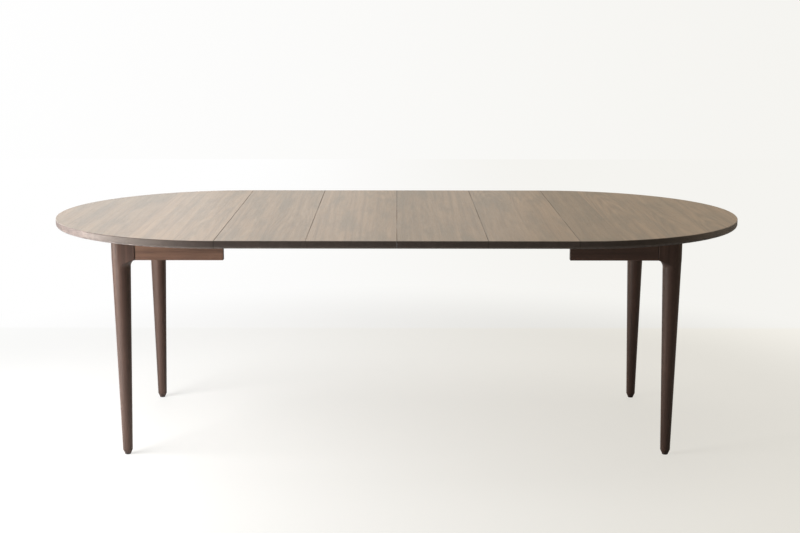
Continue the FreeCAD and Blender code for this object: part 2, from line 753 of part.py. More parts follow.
def make_bar(name, lane, stage, groove=False, tongue=False, rabbet=None, recess=False):
    """One bar of the front set. Lane counts outwards from the middle bar, stage counts along X."""
    body = new_body(name)
    centre = f"(-(slide_offset + {lane} * {LANE}))"
    outer = f"({centre} - bar_width / 2)"
    inner = f"({centre} + bar_width / 2)"
    half = f"({BAR_LENGTH} / 2)"
    blunt = [
        (f"-{half}", UNDERSIDE),
        (f"-{half}", f"{BAR_BOTTOM} + bar_end_cut"),
        (f"-{half} + bar_end_cut", BAR_BOTTOM),
        (f"{half} - bar_end_cut", BAR_BOTTOM),
        (half, f"{BAR_BOTTOM} + bar_end_cut"),
        (half, UNDERSIDE),
    ]
    pad(body, draw_polygon(sketch_on(body, "XZ_Plane", f"-{inner}"), blunt), "bar_width")
    if groove:
        section = sketch_on(body, "YZ_Plane", half)
        draw_polygon(section, dovetail(outer, "1", "dovetail_depth", "dovetail_clear"))
        pocket(body, section, f"{BAR_LENGTH} - groove_land")
    if tongue:
        section = sketch_on(body, "YZ_Plane", f"-{TONGUE_START}")
        reach = "(bar_gap + dovetail_depth - dovetail_clear)"
        draw_polygon(section, dovetail(inner, "1", reach, "0"))
        pad(body, section, f"{half} + {TONGUE_START}")
    if rabbet:
        side, inward = (inner, "-1") if rabbet == "inner" else (outer, "1")
        back = f"({side} + {inward} * {RACK_DEPTH})"
        roof = f"({BAR_BOTTOM} + gear_recess)"
        section = sketch_on(body, "YZ_Plane", half)
        draw_polygon(section, [(side, BAR_BOTTOM), (side, roof), (back, roof), (back, BAR_BOTTOM)])
        pocket(body, section, BAR_LENGTH)
    if recess:
        width = f"({PITCH_RADIUS} + gear_module + 1.5)"
        section = sketch_on(body, "XZ_Plane", f"-{outer}")
        roof = f"({BAR_BOTTOM} + gear_recess + 0.4)"
        draw_polygon(section, [(f"-{width}", BAR_BOTTOM), (width, BAR_BOTTOM), (width, roof), (f"-{width}", roof)])
        pocket(body, section, "bar_width")
        hole = draw_circle(sketch_on(body, "XY_Plane", roof), "0", centre, "axle_width / 2")
        pocket(body, hole, "axle_bite", upwards=True)
    place(body, x=f"{stage} * {STAGE}")
    return body


def make_slides():
    bars = (
        ("left_slide_bars", 2, -2, dict(tongue=True)),
        ("left_mid_slide_bars", 1, -1, dict(groove=True, tongue=True, rabbet="inner")),
        ("centre_slide_bars", 0, 0, dict(groove=True, tongue=True, recess=True)),
        ("right_mid_slide_bars", -1, 1, dict(groove=True, tongue=True, rabbet="outer")),
        ("right_slide_bars", -2, 2, dict(groove=True)),
    )
    for name, lane, stage, features in bars:
        bar = make_bar(f"{name}_front", lane, stage, **features)
        node(front_and_back(name, [bar]), name)
    ties = (("left_mid_tie", 1, -1, -80), ("centre_tie", 0, 0, 60), ("right_mid_tie", -1, 1, 200))
    for name, lane, stage, along in ties:
        make_tie(name, lane, f"{stage} * {STAGE} + {along / 315:.4f} * {BAR_LENGTH} / 2")


def make_tie(name, lane, x):
    """A batten below the bars that makes the front and back bars of one stage move as one."""
    body = new_body(name)
    half = f"(slide_offset + {lane} * {LANE} + bar_width / 2)"
    land = f"({half} - bar_width)"
    low = f"({BAR_BOTTOM} - tie_clear - tie_thick)"
    clear = f"({BAR_BOTTOM} - tie_clear)"
    outline = [
        (f"-{half}", low),
        (half, low),
        (half, BAR_BOTTOM),
        (land, BAR_BOTTOM),
        (land, clear),
        (f"-{land}", clear),
        (f"-{land}", BAR_BOTTOM),
        (f"-{half}", BAR_BOTTOM),
    ]
    pad(body, draw_polygon(sketch_on(body, "YZ_Plane", "-tie_width / 2"), outline), "tie_width")
    place(body, x=x)
    return node(body, name)


# The equalising gears

def rack_shape(start, end, pitch_line, outward):
    """A straight rack between two x places, its teeth pointing from pitch_line against the outward sign."""
    module = amount("gear_module")
    pitch = math.pi * module
    lean = math.tan(math.radians(20))
    half_tooth = pitch / 4 - amount("gear_backlash") / 4
    tip = pitch_line - outward * module
    root = pitch_line + outward * 1.25 * module
    back = root + outward * amount("rack_back")
    tip_half = half_tooth - module * lean
    root_half = half_tooth + 1.25 * module * lean
    first = math.ceil((start + root_half) / pitch - 0.5)
    last = math.floor((end - root_half) / pitch - 0.5)
    level = amount(GEAR_BOTTOM)
    points = [(start, back), (start, root)]
    for number in range(first, last + 1):
        middle = (number + 0.5) * pitch
        points.append((middle - root_half, root))
        points.append((middle - tip_half, tip))
        points.append((middle + tip_half, tip))
        points.append((middle + root_half, root))
    points += [(end, root), (end, back)]
    corners = [FreeCAD.Vector(x, y, level) for x, y in points]
    outline = Part.makePolygon(corners + corners[:1])
    return Part.Face(outline).extrude(FreeCAD.Vector(0, 0, amount("gear_thick")))


def pinion_shape():
    """A spur gear with involute flanks drawn as arcs, and a tooth pointing along +Y."""
    module = amount("gear_module")
    pitch_radius = amount(PITCH_RADIUS)
    base_radius = pitch_radius * math.cos(math.radians(20))
    tip_radius = pitch_radius + module
    root_radius = pitch_radius - 1.25 * module
    half_at_pitch = math.pi / (2 * PINION_TEETH) - amount("gear_backlash") / (4 * pitch_radius)

    def involute(radius):
        angle = math.acos(min(1.0, base_radius / radius))
        return math.tan(angle) - angle

    def half_angle(radius):
        return half_at_pitch + involute(pitch_radius) - involute(max(radius, base_radius))

    def point(radius, angle):
        return FreeCAD.Vector(radius * math.cos(angle), radius * math.sin(angle), 0)

    middle_radius = (base_radius + tip_radius) / 2
    step = 2 * math.pi / PINION_TEETH
    edges = []
    for number in range(PINION_TEETH):
        axis = math.pi / 2 + number * step
        rise = [point(r, axis - half_angle(r)) for r in (root_radius, base_radius, middle_radius, tip_radius)]
        fall = [point(r, axis + half_angle(r)) for r in (tip_radius, middle_radius, base_radius, root_radius)]
        valley = point(root_radius, axis + step / 2)
        following = point(root_radius, axis + step - half_angle(root_radius))
        edges.append(Part.LineSegment(rise[0], rise[1]).toShape())
        edges.append(Part.Arc(rise[1], rise[2], rise[3]).toShape())
        edges.append(Part.Arc(rise[3], point(tip_radius, axis), fall[0]).toShape())
        edges.append(Part.Arc(fall[0], fall[1], fall[2]).toShape())
        edges.append(Part.LineSegment(fall[2], fall[3]).toShape())
        edges.append(Part.Arc(fall[3], valley, following).toShape())
    thickness = amount("gear_thick")
    blank = Part.Face(Part.Wire(edges)).extrude(FreeCAD.Vector(0, 0, thickness))
    bore = Part.makeCylinder(amount("axle_width / 2 + running_fit"), thickness)
    return blank.cut(bore)


def make_gears():
    """A pinion on each middle bar that meshes with a rack on either neighbour, so both sides open alike."""
    line = amount("slide_offset")
    pitch_radius = amount(PITCH_RADIUS)
    stage = amount(STAGE)
    half = amount(f"{BAR_LENGTH} / 2")
    margin = amount("rack_margin")
    racks = (
        ("left_mid_racks", -stage - margin, -stage + half, -1),
        ("right_mid_racks", stage - half, stage + margin, 1),
    )
    for name, start, end, outward in racks:
        rack = document.addObject("Part::Feature", f"{name}_front")
        rack.Shape = rack_shape(start, end, -line + outward * pitch_radius, outward)
        node(front_and_back(name, [rack]), name)
    pinion = document.addObject("Part::Feature", "front_pinion")
    pinion.Shape = pinion_shape()
    place(pinion, "0", "-slide_offset", GEAR_BOTTOM)
    node(pinion, "front_pinion")
    node(mirror_back(pinion, "rear_pinion"), "rear_pinion")

    axle = new_body("front_axle")
    low = f"({GEAR_BOTTOM} - 0.4)"
    head = sketch_on(axle, "XY_Plane", f"{low} - head_thick")
    pad(axle, draw_circle(head, "0", "-slide_offset", "axle_head / 2"), "head_thick")
    shank = sketch_on(axle, "XY_Plane", low)
    pad(
        axle, draw_circle(shank, "0", "-slide_offset", "axle_width / 2"),
        "gear_thick + 0.8 + axle_bite",
    )
    node(front_and_back("pinion_axles", [axle]), "pinion_axles")


# The leaf locks: a lever on one side of each joint and a headed stud on the other

def make_plate(name, x, under, width, length):
    """A plate with a headed stud, let down from the underside at a height to the level all locks share."""
    y = "(-lock_offset)"
    plate = box(
        f"{name}_plate", (length, "plate_width", f"{under} - {LOCK_LEVEL}"),
        f"{x} - {length} / 2", f"{y} - plate_width / 2", LOCK_LEVEL,
    )
    gap = "(lever_thick + 2 * lever_play)"
    stud = cylinder(f"{name}_stud", f"{width} / 2", gap, x, y, f"{LOCK_LEVEL} - {gap}")
    head = cylinder(f"{name}_head", "head_width / 2", "head_thick", x, y, f"{LOCK_LEVEL} - {gap} - head_thick")
    return fuse(name, [plate, stud, head])


def make_lever(owner, x):
    """A lever that lies along the joint when free, and turns a quarter turn to hook the stud across it."""
    body = new_body(f"{owner}_front_lever")
    half = "(lever_width / 2)"
    nose = f"({LOCK_REACH} + lever_nose)"
    mouth = "(stud_width / 2 + 1)"
    throat = "(stud_width / 2 + 0.6)"
    outline = [
        (f"-{half}", half),
        (f"-{half}", f"-{nose}"),
        (half, f"-{nose}"),
        (half, f"-({LOCK_REACH} + {mouth})"),
        (f"-{throat}", f"-({LOCK_REACH} + {mouth})"),
        (f"-{throat}", f"-({LOCK_REACH} - {mouth})"),
        (half, f"-({LOCK_REACH} - {mouth})"),
        (half, half),
    ]
    level = f"({LOCK_LEVEL} - lever_play - lever_thick)"
    pad(body, draw_polygon(sketch_on(body, "XY_Plane", level), outline), "lever_thick")
    hole = draw_circle(
        sketch_on(body, "XY_Plane", f"{level} + lever_thick"), "0", "0", "pivot_width / 2 + running_fit"
    )
    pocket(body, hole, "lever_thick")
    ends = (amount(half), -amount(nose))
    dress(
        body, "Fillet",
        lambda e: runs_along_z(e) and any(near(e.BoundBox.YMin, y) for y in ends),
        Radius="lever_round",
    )
    tab = [
        (f"-{half} + lever_round", f"-{nose}"),
        (f"{half} - lever_round", f"-{nose}"),
        (f"{half} - lever_round", f"-{nose} + lever_thick"),
        (f"-{half} + lever_round", f"-{nose} + lever_thick"),
    ]
    pad(body, draw_polygon(sketch_on(body, "XY_Plane", f"{level} - lever_tab"), tab), "lever_tab")
    place(body, x, "-lock_offset")
    node(body, f"{owner}_front_lever")
    node(mirror_back(body, f"{owner}_rear_lever"), f"{owner}_rear_lever")


def make_locks():
    at_end = UNDERSIDE
    at_leaf = f"({UNDERSIDE} + leaf_seat)"
    small = "(plate_length * 0.8)"
    pivot = f"(-{END_EDGE} - lock_setback)"
    plate = make_plate("left_pivot", pivot, at_end, "pivot_width", "plate_length")
    node(front_and_back("left_lock_plates", [plate]), "left_lock_plates")
    make_lever("left", pivot)
    for number in range(1, LEAVES + 1):
        half = "((leaf_width - joint_gap) / 2)"
        pivot = f"({leaf_centre(number)} + {half} - lock_setback)"
        stud = f"({leaf_centre(number)} - {half} + stud_setback)"
        pieces = [
            make_plate(f"leaf_{number}_pivot", pivot, at_leaf, "pivot_width", "plate_length"),
            make_plate(f"leaf_{number}_keeper", stud, at_leaf, "stud_width", small),
        ]
        name = f"leaf_{number}_lock_plates"
        node(front_and_back(name, pieces), name)
        make_lever(f"leaf_{number}", pivot)
    keeper = make_plate("right_keeper", f"({END_EDGE} + stud_setback)", at_end, "stud_width", small)
    node(front_and_back("right_lock_keepers", [keeper]), "right_lock_keepers")


def write_parts():
    """Checks every object, then writes each sub-part as a STEP file of its own."""
    document.recompute()
    for thing in document.Objects:
        if "Invalid" in thing.State or "Error" in thing.State:
            raise RuntimeError(f"{thing.Label} did not build: {thing.State}")
    for label, thing in nodes.items():
        shape = thing.Shape
        if shape.isNull() or not shape.isValid() or not shape.Solids:
            raise RuntimeError(f"{label} has no valid shape")
    os.makedirs("parts", exist_ok=True)
    for label, thing in nodes.items():
        thing.Shape.exportStep(f"parts/{label}.step")


make_end_top()
for leaf in range(1, LEAVES + 1):
    make_leaf(leaf)
    make_cleats(leaf)
make_leg()
make_glides()
make_side_aprons()
make_end_apron()
make_clips()
make_brackets()
make_slides()
make_gears()
make_locks()
write_parts()
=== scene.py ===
"""Looks of the extending dining table: stained walnut, beech slides, zinc-plated fittings and nylon gears."""

import json
import logging
import math
from collections.abc import Callable, Sequence
from dataclasses import dataclass
from enum import Enum

import bpy
from mathutils import Matrix, Vector

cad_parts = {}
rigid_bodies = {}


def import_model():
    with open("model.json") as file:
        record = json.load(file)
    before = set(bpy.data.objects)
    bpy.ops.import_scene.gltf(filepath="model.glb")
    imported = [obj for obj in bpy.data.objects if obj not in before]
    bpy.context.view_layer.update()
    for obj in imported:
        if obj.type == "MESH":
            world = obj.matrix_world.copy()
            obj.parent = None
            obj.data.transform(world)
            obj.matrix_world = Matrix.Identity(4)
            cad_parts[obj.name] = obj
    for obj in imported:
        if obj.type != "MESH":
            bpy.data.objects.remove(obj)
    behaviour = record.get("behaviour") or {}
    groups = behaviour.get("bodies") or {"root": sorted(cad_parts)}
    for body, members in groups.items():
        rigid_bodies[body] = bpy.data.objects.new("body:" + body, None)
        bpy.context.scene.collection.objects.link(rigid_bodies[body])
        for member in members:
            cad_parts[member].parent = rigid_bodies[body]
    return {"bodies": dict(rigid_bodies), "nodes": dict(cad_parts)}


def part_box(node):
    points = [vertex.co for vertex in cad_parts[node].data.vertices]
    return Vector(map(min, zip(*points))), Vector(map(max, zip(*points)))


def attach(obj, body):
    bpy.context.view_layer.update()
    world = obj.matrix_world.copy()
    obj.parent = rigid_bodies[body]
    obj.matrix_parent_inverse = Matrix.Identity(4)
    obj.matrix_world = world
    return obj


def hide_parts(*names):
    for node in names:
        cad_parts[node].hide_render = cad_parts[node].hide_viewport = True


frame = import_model()

log = logging.getLogger("table")

Colour = tuple[float, float, float, float]
Point = tuple[float, float, float]
Range = tuple[float, float]
Box = tuple[Vector, Vector]
Spot = tuple[Vector, Vector]
PointKey = tuple[int, ...]

IMAGE_WIDTH = 800
SENSOR_WIDTH = 36.0
LEAVES = 4
STAGES = ("left_mid", "centre", "right_mid")
DOWN = Vector((0.0, 0.0, -1.0))
UP = Vector((0.0, 0.0, 1.0))


class Axis(Enum):
    """A direction that the grain of a piece runs in."""

    X = 0
    Y = 1
    Z = 2


class Cut(Enum):
    """A choice of walnut: the boards of the top, rails painted lighter as painted light of the window on the
    left end, or dark legs, whose walnut the right end's rails also take as painted shade.
    """

    BOARDS = "boards"
    RAIL = "rail"
    LEG = "leg"


class Side(Enum):
    """One end of the table, with its sign along X."""

    LEFT = -1
    RIGHT = 1

    @property
    def word(self) -> str:
        """The word that this end's node names begin with."""
        return self.name.lower()


def tint(red: int, green: int, blue: int) -> Colour:
    """Turns a colour written in screen values into the linear values that shaders take.

    Args:
        red: Red from 0 to 255.
        green: Green from 0 to 255.
        blue: Blue from 0 to 255.

    Returns:
        The linear colour with full alpha.
    """
    def linear(value: int) -> float:
        """One channel, by the standard curve of screen colours."""
        share = value / 255
        return share / 12.92 if share <= 0.04045 else ((share + 0.055) / 1.055) ** 2.4

    return linear(red), linear(green), linear(blue), 1.0


class Signal:
    """A node's output that can be used in plain arithmetic."""

    def __init__(self, graph: "Graph", output: bpy.types.NodeSocket | None) -> None:
        """Keeps the output and the graph that new nodes go to."""
        self.graph = graph
        self.output = output

    def __add__(self, other: "Signal | float") -> "Signal":
        """Adds."""
        return self.graph.math("ADD", self, other)

    def __radd__(self, other: float) -> "Signal":
        """Adds to a number."""
        return self.graph.math("ADD", other, self)

    def __sub__(self, other: "Signal | float") -> "Signal":
        """Subtracts."""
        return self.graph.math("SUBTRACT", self, other)

    def __rsub__(self, other: float) -> "Signal":
        """Subtracts from a number."""
        return self.graph.math("SUBTRACT", other, self)

    def __mul__(self, other: "Signal | float") -> "Signal":
        """Multiplies."""
        return self.graph.math("MULTIPLY", self, other)

    def __rmul__(self, other: float) -> "Signal":
        """Multiplies a number."""
        return self.graph.math("MULTIPLY", other, self)

    def __truediv__(self, other: "Signal | float") -> "Signal":
        """Divides."""
        return self.graph.math("DIVIDE", self, other)

    def __rtruediv__(self, other: float) -> "Signal":
        """Divides a number."""
        return self.graph.math("DIVIDE", other, self)


Input = Signal | float | int | Colour | tuple[float, ...]


class Graph:
    """The node tree of one material or of the world."""

    def __init__(self, tree: bpy.types.NodeTree) -> None:
        """Starts from an empty tree."""
        tree.nodes.clear()
        self.tree = tree

    def node(
        self, kind: str, settings: dict[str, object] | None = None,
        sockets: dict[str | int, Input] | None = None, out: str | int = 0,
    ) -> Signal:
        """Adds a node.

        Args:
            kind: The node's type.
            settings: Properties that are set first.
            sockets: Values or links for inputs, by name or place.
            out: The output to hand back.

        Returns:
            That output.
        """
        made = self.tree.nodes.new(kind)
        for name, value in (settings or {}).items():
            setattr(made, name, value)
        for name, value in (sockets or {}).items():
            if isinstance(value, Signal):
                self.tree.links.new(value.output, made.inputs[name])
            else:
                made.inputs[name].default_value = value
        return Signal(self, made.outputs[out] if len(made.outputs) else None)

    def math(self, operation: str, *values: Input) -> Signal:
        """Adds a Math node for one operation."""
        return self.node("ShaderNodeMath", {"operation": operation}, dict(enumerate(values)))

    def blend(self, share: Input, low: Input, high: Input) -> Signal:
        """Mixes two colours by a share."""
        return self.node("ShaderNodeMix", {"data_type": "RGBA"}, {0: share, 6: low, 7: high}, 2)

    def darken(self, colour: Input, by: Input) -> Signal:
        """Multiplies a colour by a grey made of one value."""
        grey = self.node("ShaderNodeCombineColor", None, {0: by, 1: by, 2: by})
        settings = {"data_type": "RGBA", "blend_type": "MULTIPLY"}
        return self.node("ShaderNodeMix", settings, {0: 1.0, 6: colour, 7: grey}, 2)

    def step(self, value: Input, low: float, high: float) -> Signal:
        """Rises smoothly from 0 at low to 1 at high."""
        sockets = {0: value, 1: low, 2: high, 3: 0.0, 4: 1.0}
        return self.node("ShaderNodeMapRange", {"interpolation_type": "SMOOTHSTEP"}, sockets)

    def place(self) -> tuple[Signal, Signal, Signal]:
        """The three coordinates of a point on the piece."""
        return self.split(self.node("ShaderNodeTexCoord", None, None, "Object"))

    def normal(self) -> tuple[Signal, Signal, Signal]:
        """The three parts of the outward direction at a point on the piece."""
        return self.split(self.node("ShaderNodeTexCoord", None, None, "Normal"))

    def split(self, vector: Signal) -> tuple[Signal, Signal, Signal]:
        """Takes a vector apart."""
        outputs = self.node("ShaderNodeSeparateXYZ", None, {0: vector}).output.node.outputs
        return Signal(self, outputs[0]), Signal(self, outputs[1]), Signal(self, outputs[2])

    def noise(self, x: Input, y: Input, z: Input, detail: float = 2.0, roughness: float = 0.5) -> Signal:
        """Smooth noise at a point, about 0.5 on average."""
        spot = self.node("ShaderNodeCombineXYZ", None, {0: x, 1: y, 2: z})
        sockets = {"Vector": spot, "Scale": 1.0, "Detail": detail, "Roughness": roughness}
        return self.node("ShaderNodeTexNoise", None, sockets)

    def chance(self, value: Input) -> Signal:
        """A number from 0 to 1 that jumps from one whole value to the next."""
        return self.node("ShaderNodeTexWhiteNoise", {"noise_dimensions": "1D"}, {"W": value})

    def seen(self, ray: str) -> Signal:
        """Is 1 on rays of one kind."""
        return self.node("ShaderNodeLightPath", None, None, ray)

    def bump(self, height: Input, strength: float, distance: float) -> Signal:
        """Turns a height into a normal."""
        sockets = {"Height": height, "Strength": strength, "Distance": distance}
        return self.node("ShaderNodeBump", None, sockets)

    def surface(self, colour: Input, roughness: Input, **more: Input) -> None:
        """Adds the shader and the output.

        Args:
            colour: The base colour.
            roughness: The roughness.
            more: Other inputs of the shader, with underscores for spaces.
        """
        sockets = {"Base Color": colour, "Roughness": roughness}
        sockets.update({name.replace("_", " "): value for name, value in more.items()})
        shader = self.node("ShaderNodeBsdfPrincipled", None, sockets)
        self.node("ShaderNodeOutputMaterial", None, {"Surface": shader})


def new_material(name: str) -> tuple[bpy.types.Material, Graph]:
    """Makes an empty material.

    Args:
        name: The material's name.

    Returns:
        The material and its graph.
    """
    material = bpy.data.materials.new(name)
    material.use_nodes = True
    return material, Graph(material.node_tree)


@dataclass(frozen=True)
class Streaks:
    """One layer of the grain: its waves per metre, how broken they are, and the noise at which it shows."""

    across: float
    along: float
    detail: float
    roughness: float = 0.5
    low: float = 0.0
    high: float = 1.0

    def noise(self, graph: Graph, across: Input, along: Input, depth: Input) -> Signal:
        """The layer's noise at a point counted in its waves."""
        return graph.noise(across, along, depth, self.detail, self.roughness)

    def shown(self, graph: Graph, across: Input, along: Input, depth: Input) -> Signal:
        """How far the layer shows at a point counted in its waves, from 0 to 1."""
        return graph.step(self.noise(graph, across, along, depth), self.low, self.high)


# The layers of the grain.
WANDER = Streaks(across=3.0, along=1.1, detail=2.0)
BANDS = Streaks(across=58.0, along=0.9, detail=4.0, roughness=0.6, low=0.28, high=0.74)
FIBRES = Streaks(across=520.0, along=11.0, detail=3.0, roughness=0.6)
PORES = Streaks(across=1100.0, along=42.0, detail=1.0, low=0.62, high=0.74)
ARCHED = Streaks(across=2.2, along=1.3, detail=1.0, low=0.45, high=0.7)
SMUDGES = Streaks(across=18.0, along=2.7, detail=3.0, roughness=0.6, low=0.42, high=0.7)
JOINT_PATCHES = Streaks(across=7.3, along=3.2, detail=1.0, low=0.38, high=0.6)

# Boards: each draws its own luck, which shifts its figure. Places in a board run from -0.5 to 0.5.
MIDWAY = 0.5
BOARD_NUDGE = 0.001
LUCK_STEP, LUCK_START = 1.37, 11.3
SAP_STEP, SAP_START = 2.71, 3.1
BOARD_SHIFT = 37.0
ARCHED_SHIFT = 5.0
SMUDGE_SHIFT = 9.0
JOINT_SHIFT = 2.5
BEND = 0.035
SAP_EDGE: Range = (0.26, 0.44)
SAP_LUCK: Range = (0.6, 0.62)
BOARD_SEAM: Range = (0.4965, 0.4995)
SEAM_SHARE = 0.8

# The arched figure: waves along the board, how far they crown across it, and how they wander.
ARCH_WAVES = 30.0
ARCH_CROWN = 110.0
ARCH_WANDER = 30.0

# How the grain turns into colour.
FIBRE_TONE = 0.5
TO_MIDDLE: Range = (0.1, 0.55)
TO_LIGHT: Range = (0.5, 0.95)
LIGHT_SHARE = 0.7

# Edges: how far a face tilts from level to count as rim, and how far it turns to the fibres' ends.
RIM_TILT: Range = (0.03, 0.12)
END_TURN: Range = (0.6, 0.92)
LEAST_TILT = 0.001
GRIT, GRIT_BANDS, GRIT_FIBRES = 0.82, 0.3, 0.9

# Dark lines where rails meet legs, painted shadow of the gap there, and where the parts of the top meet,
# painted shade in the joints and partly finish build-up, in metres from the meeting edge.
SHOULDER_LINE: Range = (0.003, 0.002)
SHOULDER_SHADE = 0.85
JOINT_LINE: Range = (0.0007, 0.0017)
JOINT_FADE = 0.01
JOINT_REACH = 2.1
JOINT_LEAST = 0.35
JOINT_SHADE = 0.6
JOINT_DULL = 0.25

# How the grain dulls and roughens the surface.
DULL_FIBRES, DULL_PORES, DULL_ENDS = 0.16, 0.1, 0.15
RELIEF_FIBRES, RELIEF_PORES, RELIEF_BANDS = 0.5, 0.8, 0.2
RELIEF_STRENGTH = 0.16
RELIEF_HEIGHT = 0.0006


@dataclass(frozen=True)
class Wood:
    """A stained or plain timber whose grain runs along one axis."""

    name: str
    along: Axis
    dark: Colour
    middle: Colour
    light: Colour
    smudge_tone: Colour
    board_width: float
    board_change: float
    bands: float
    figure: float
    smudges: float
    sapwood: float
    pores: float
    end_share: float
    end_tone: Colour
    roughness: float
    sheen: float
    sheen_tint: Colour
    shoulder: float = 0.0
    # The rim share and rim tone paint a pale, nearly neutral sheen on the rims: a painted reflection of the
    # window.
    rim_share: float = 0.0
    rim_tone: Colour = tint(103, 97, 98)
    joint_pitch: float = 0.0

    @property
    def across(self) -> int:
        """The axis that boards lie side by side on."""
        return Axis.Y.value if self.along is Axis.X else Axis.X.value

    @property
    def depth(self) -> int:
        """The axis that runs into the boards."""
        return Axis.Y.value if self.along is Axis.Z else Axis.Z.value

    def material(self) -> bpy.types.Material:
        """Builds the finish: boards, growth bands, arched figure, smudges, fibres, pores and dark end grain.

        Returns:
            The material.
        """
        material, graph = new_material(f"{self.name}_{self.along.name.lower()}")
        spot = graph.place()
        length, across, depth = spot[self.along.value], spot[self.across], spot[self.depth]
        board = graph.math("FLOOR", across / self.board_width + BOARD_NUDGE)
        inside = across / self.board_width - board - MIDWAY
        luck = graph.chance(board * LUCK_STEP + LUCK_START)
        shift = luck * BOARD_SHIFT
        wander = WANDER.noise(graph, across * WANDER.across, length * WANDER.along, shift) - MIDWAY
        bent = across + wander * BEND
        bands = BANDS.shown(
            graph, bent * BANDS.across, length * BANDS.along + shift, depth * BANDS.across + shift
        )
        fibres = FIBRES.noise(
            graph, bent * FIBRES.across, length * FIBRES.along + shift, depth * FIBRES.across
        )
        pores = PORES.shown(graph, bent * PORES.across, length * PORES.along + shift, depth * PORES.across)
        crown = inside * inside * ARCH_CROWN
        arch = graph.math("SINE", length * ARCH_WAVES + crown + wander * ARCH_WANDER + shift)
        arched = ARCHED.shown(graph, across * ARCHED.across, length * ARCHED.along, shift + ARCHED_SHIFT)
        tone = MIDWAY + (bands - MIDWAY) * self.bands + (fibres - MIDWAY) * FIBRE_TONE
        tone = tone + arch * arched * self.figure
        colour = graph.blend(graph.step(tone, *TO_MIDDLE), self.dark, self.middle)
        colour = graph.blend(graph.step(tone, *TO_LIGHT) * LIGHT_SHARE, colour, self.light)
        smudge = SMUDGES.shown(graph, bent * SMUDGES.across, length * SMUDGES.along, shift + SMUDGE_SHIFT)
        colour = graph.blend(smudge * self.smudges, colour, self.smudge_tone)
        sap_luck = graph.step(graph.chance(board * SAP_STEP + SAP_START), *SAP_LUCK)
        sap = graph.step(inside, *SAP_EDGE) * sap_luck
        colour = graph.blend(sap * self.sapwood, colour, self.light)
        seam = graph.step(graph.math("ABSOLUTE", inside), *BOARD_SEAM)
        shade = 1.0 + (luck - MIDWAY) * self.board_change - pores * self.pores
        colour = graph.darken(colour, shade - seam * self.board_change * SEAM_SHARE)
        rim, end_grain = self.edges(graph)
        grit = GRIT + bands * GRIT_BANDS + (fibres - MIDWAY) * GRIT_FIBRES
        # Painted sheen: the rims are blended towards a pale, nearly neutral tone that stands for the window's
        # reflection.
        if self.rim_share:
            colour = graph.blend(rim * self.rim_share, colour, graph.darken(self.rim_tone, grit))
        colour = graph.blend(end_grain * self.end_share, colour, graph.darken(self.end_tone, grit))
        roughness = self.roughness + (fibres - MIDWAY) * DULL_FIBRES + pores * DULL_PORES
        roughness = roughness + end_grain * DULL_ENDS
        # Painted shadow: a dark line near each end of a rail, where it meets the leg.
        if self.shoulder:
            start, end = (self.shoulder - inset for inset in SHOULDER_LINE)
            gap_shadow = graph.step(graph.math("ABSOLUTE", length), start, end)
            colour = graph.darken(colour, 1.0 - gap_shadow * SHOULDER_SHADE)
        # Painted shade, partly finish build-up: dark lines where the parts of the top meet.
        if self.joint_pitch:
            line = self.joint_line(graph, across, length)
            colour = graph.darken(colour, 1.0 - line * JOINT_SHADE)
            roughness = roughness + line * JOINT_DULL
        height = fibres * RELIEF_FIBRES - pores * RELIEF_PORES + bands * RELIEF_BANDS
        graph.surface(
            colour, roughness, Specular_IOR_Level=self.sheen, Specular_Tint=self.sheen_tint,
            Normal=graph.bump(height, RELIEF_STRENGTH, RELIEF_HEIGHT),
        )
        return material

    def edges(self, graph: Graph) -> tuple[Signal, Signal]:
        """Finds the rim of a piece and the parts of it where fibres end.

        Args:
            graph: The material's graph.

        Returns:
            How far a point belongs to the rim, and how far fibres end there, each from 0 to 1.
        """
        outward = graph.normal()
        endways = graph.math("ABSOLUTE", outward[self.along.value])
        sideways = outward[self.across]
        level = graph.math("SQRT", endways * endways + sideways * sideways)
        rim = graph.step(level, *RIM_TILT)
        turned = endways / graph.math("MAXIMUM", level, LEAST_TILT)
        return rim, graph.step(turned, *END_TURN) * rim

    def joint_line(self, graph: Graph, across: Signal, length: Signal) -> Signal:
        """Finds the thin, uneven dark lines where the parts of the top meet: painted shade in the joints,
        partly finish build-up.

        Args:
            graph: The material's graph.
            across: The place across the boards.
            length: The place along them.

        Returns:
            How dark the line is, from 0 to 1.
        """
        pitches = across / self.joint_pitch
        joint = graph.math("ROUND", pitches)
        near = graph.math("ABSOLUTE", pitches - joint) * self.joint_pitch
        reach = self.joint_pitch * JOINT_REACH
        inner = 1.0 - graph.step(graph.math("ABSOLUTE", across), reach, reach + JOINT_FADE)
        # How strong the painted shade of the joint is, in patches along it.
        worn = JOINT_PATCHES.shown(graph, length * JOINT_PATCHES.along, joint * JOINT_PATCHES.across, JOINT_SHIFT)
        strength = JOINT_LEAST + worn * (1.0 - JOINT_LEAST)
        return (1.0 - graph.step(near, *JOINT_LINE)) * inner * strength


@dataclass(frozen=True)
class Plating:
    """Zinc-plated steel with soft blotches and fine drawing lines."""

    name: str
    base: Colour
    stain: Colour
    roughness: float
    blotch_waves: float = 90.0
    line_waves: float = 2400.0
    line_run: float = 160.0
    stained: Range = (0.35, 0.7)
    blotch_dulls: float = 0.25
    lines_dull: float = 0.12
    line_strength: float = 0.08
    line_height: float = 0.0002

    def material(self) -> bpy.types.Material:
        """Builds the finish.

        Returns:
            The material.
        """
        material, graph = new_material(self.name)
        x, y, z = graph.place()
        waves = self.blotch_waves
        blotch = graph.noise(x * waves, y * waves, z * waves, detail=4.0, roughness=0.6)
        lines = graph.noise(x * self.line_waves, y * self.line_run, z * self.line_waves)
        colour = graph.blend(graph.step(blotch, *self.stained), self.base, self.stain)
        roughness = self.roughness + (blotch - MIDWAY) * self.blotch_dulls
        roughness = roughness + (lines - MIDWAY) * self.lines_dull
        drawn = graph.bump(lines, self.line_strength, self.line_height)
        graph.surface(colour, roughness, Metallic=1.0, Normal=drawn)
        return material


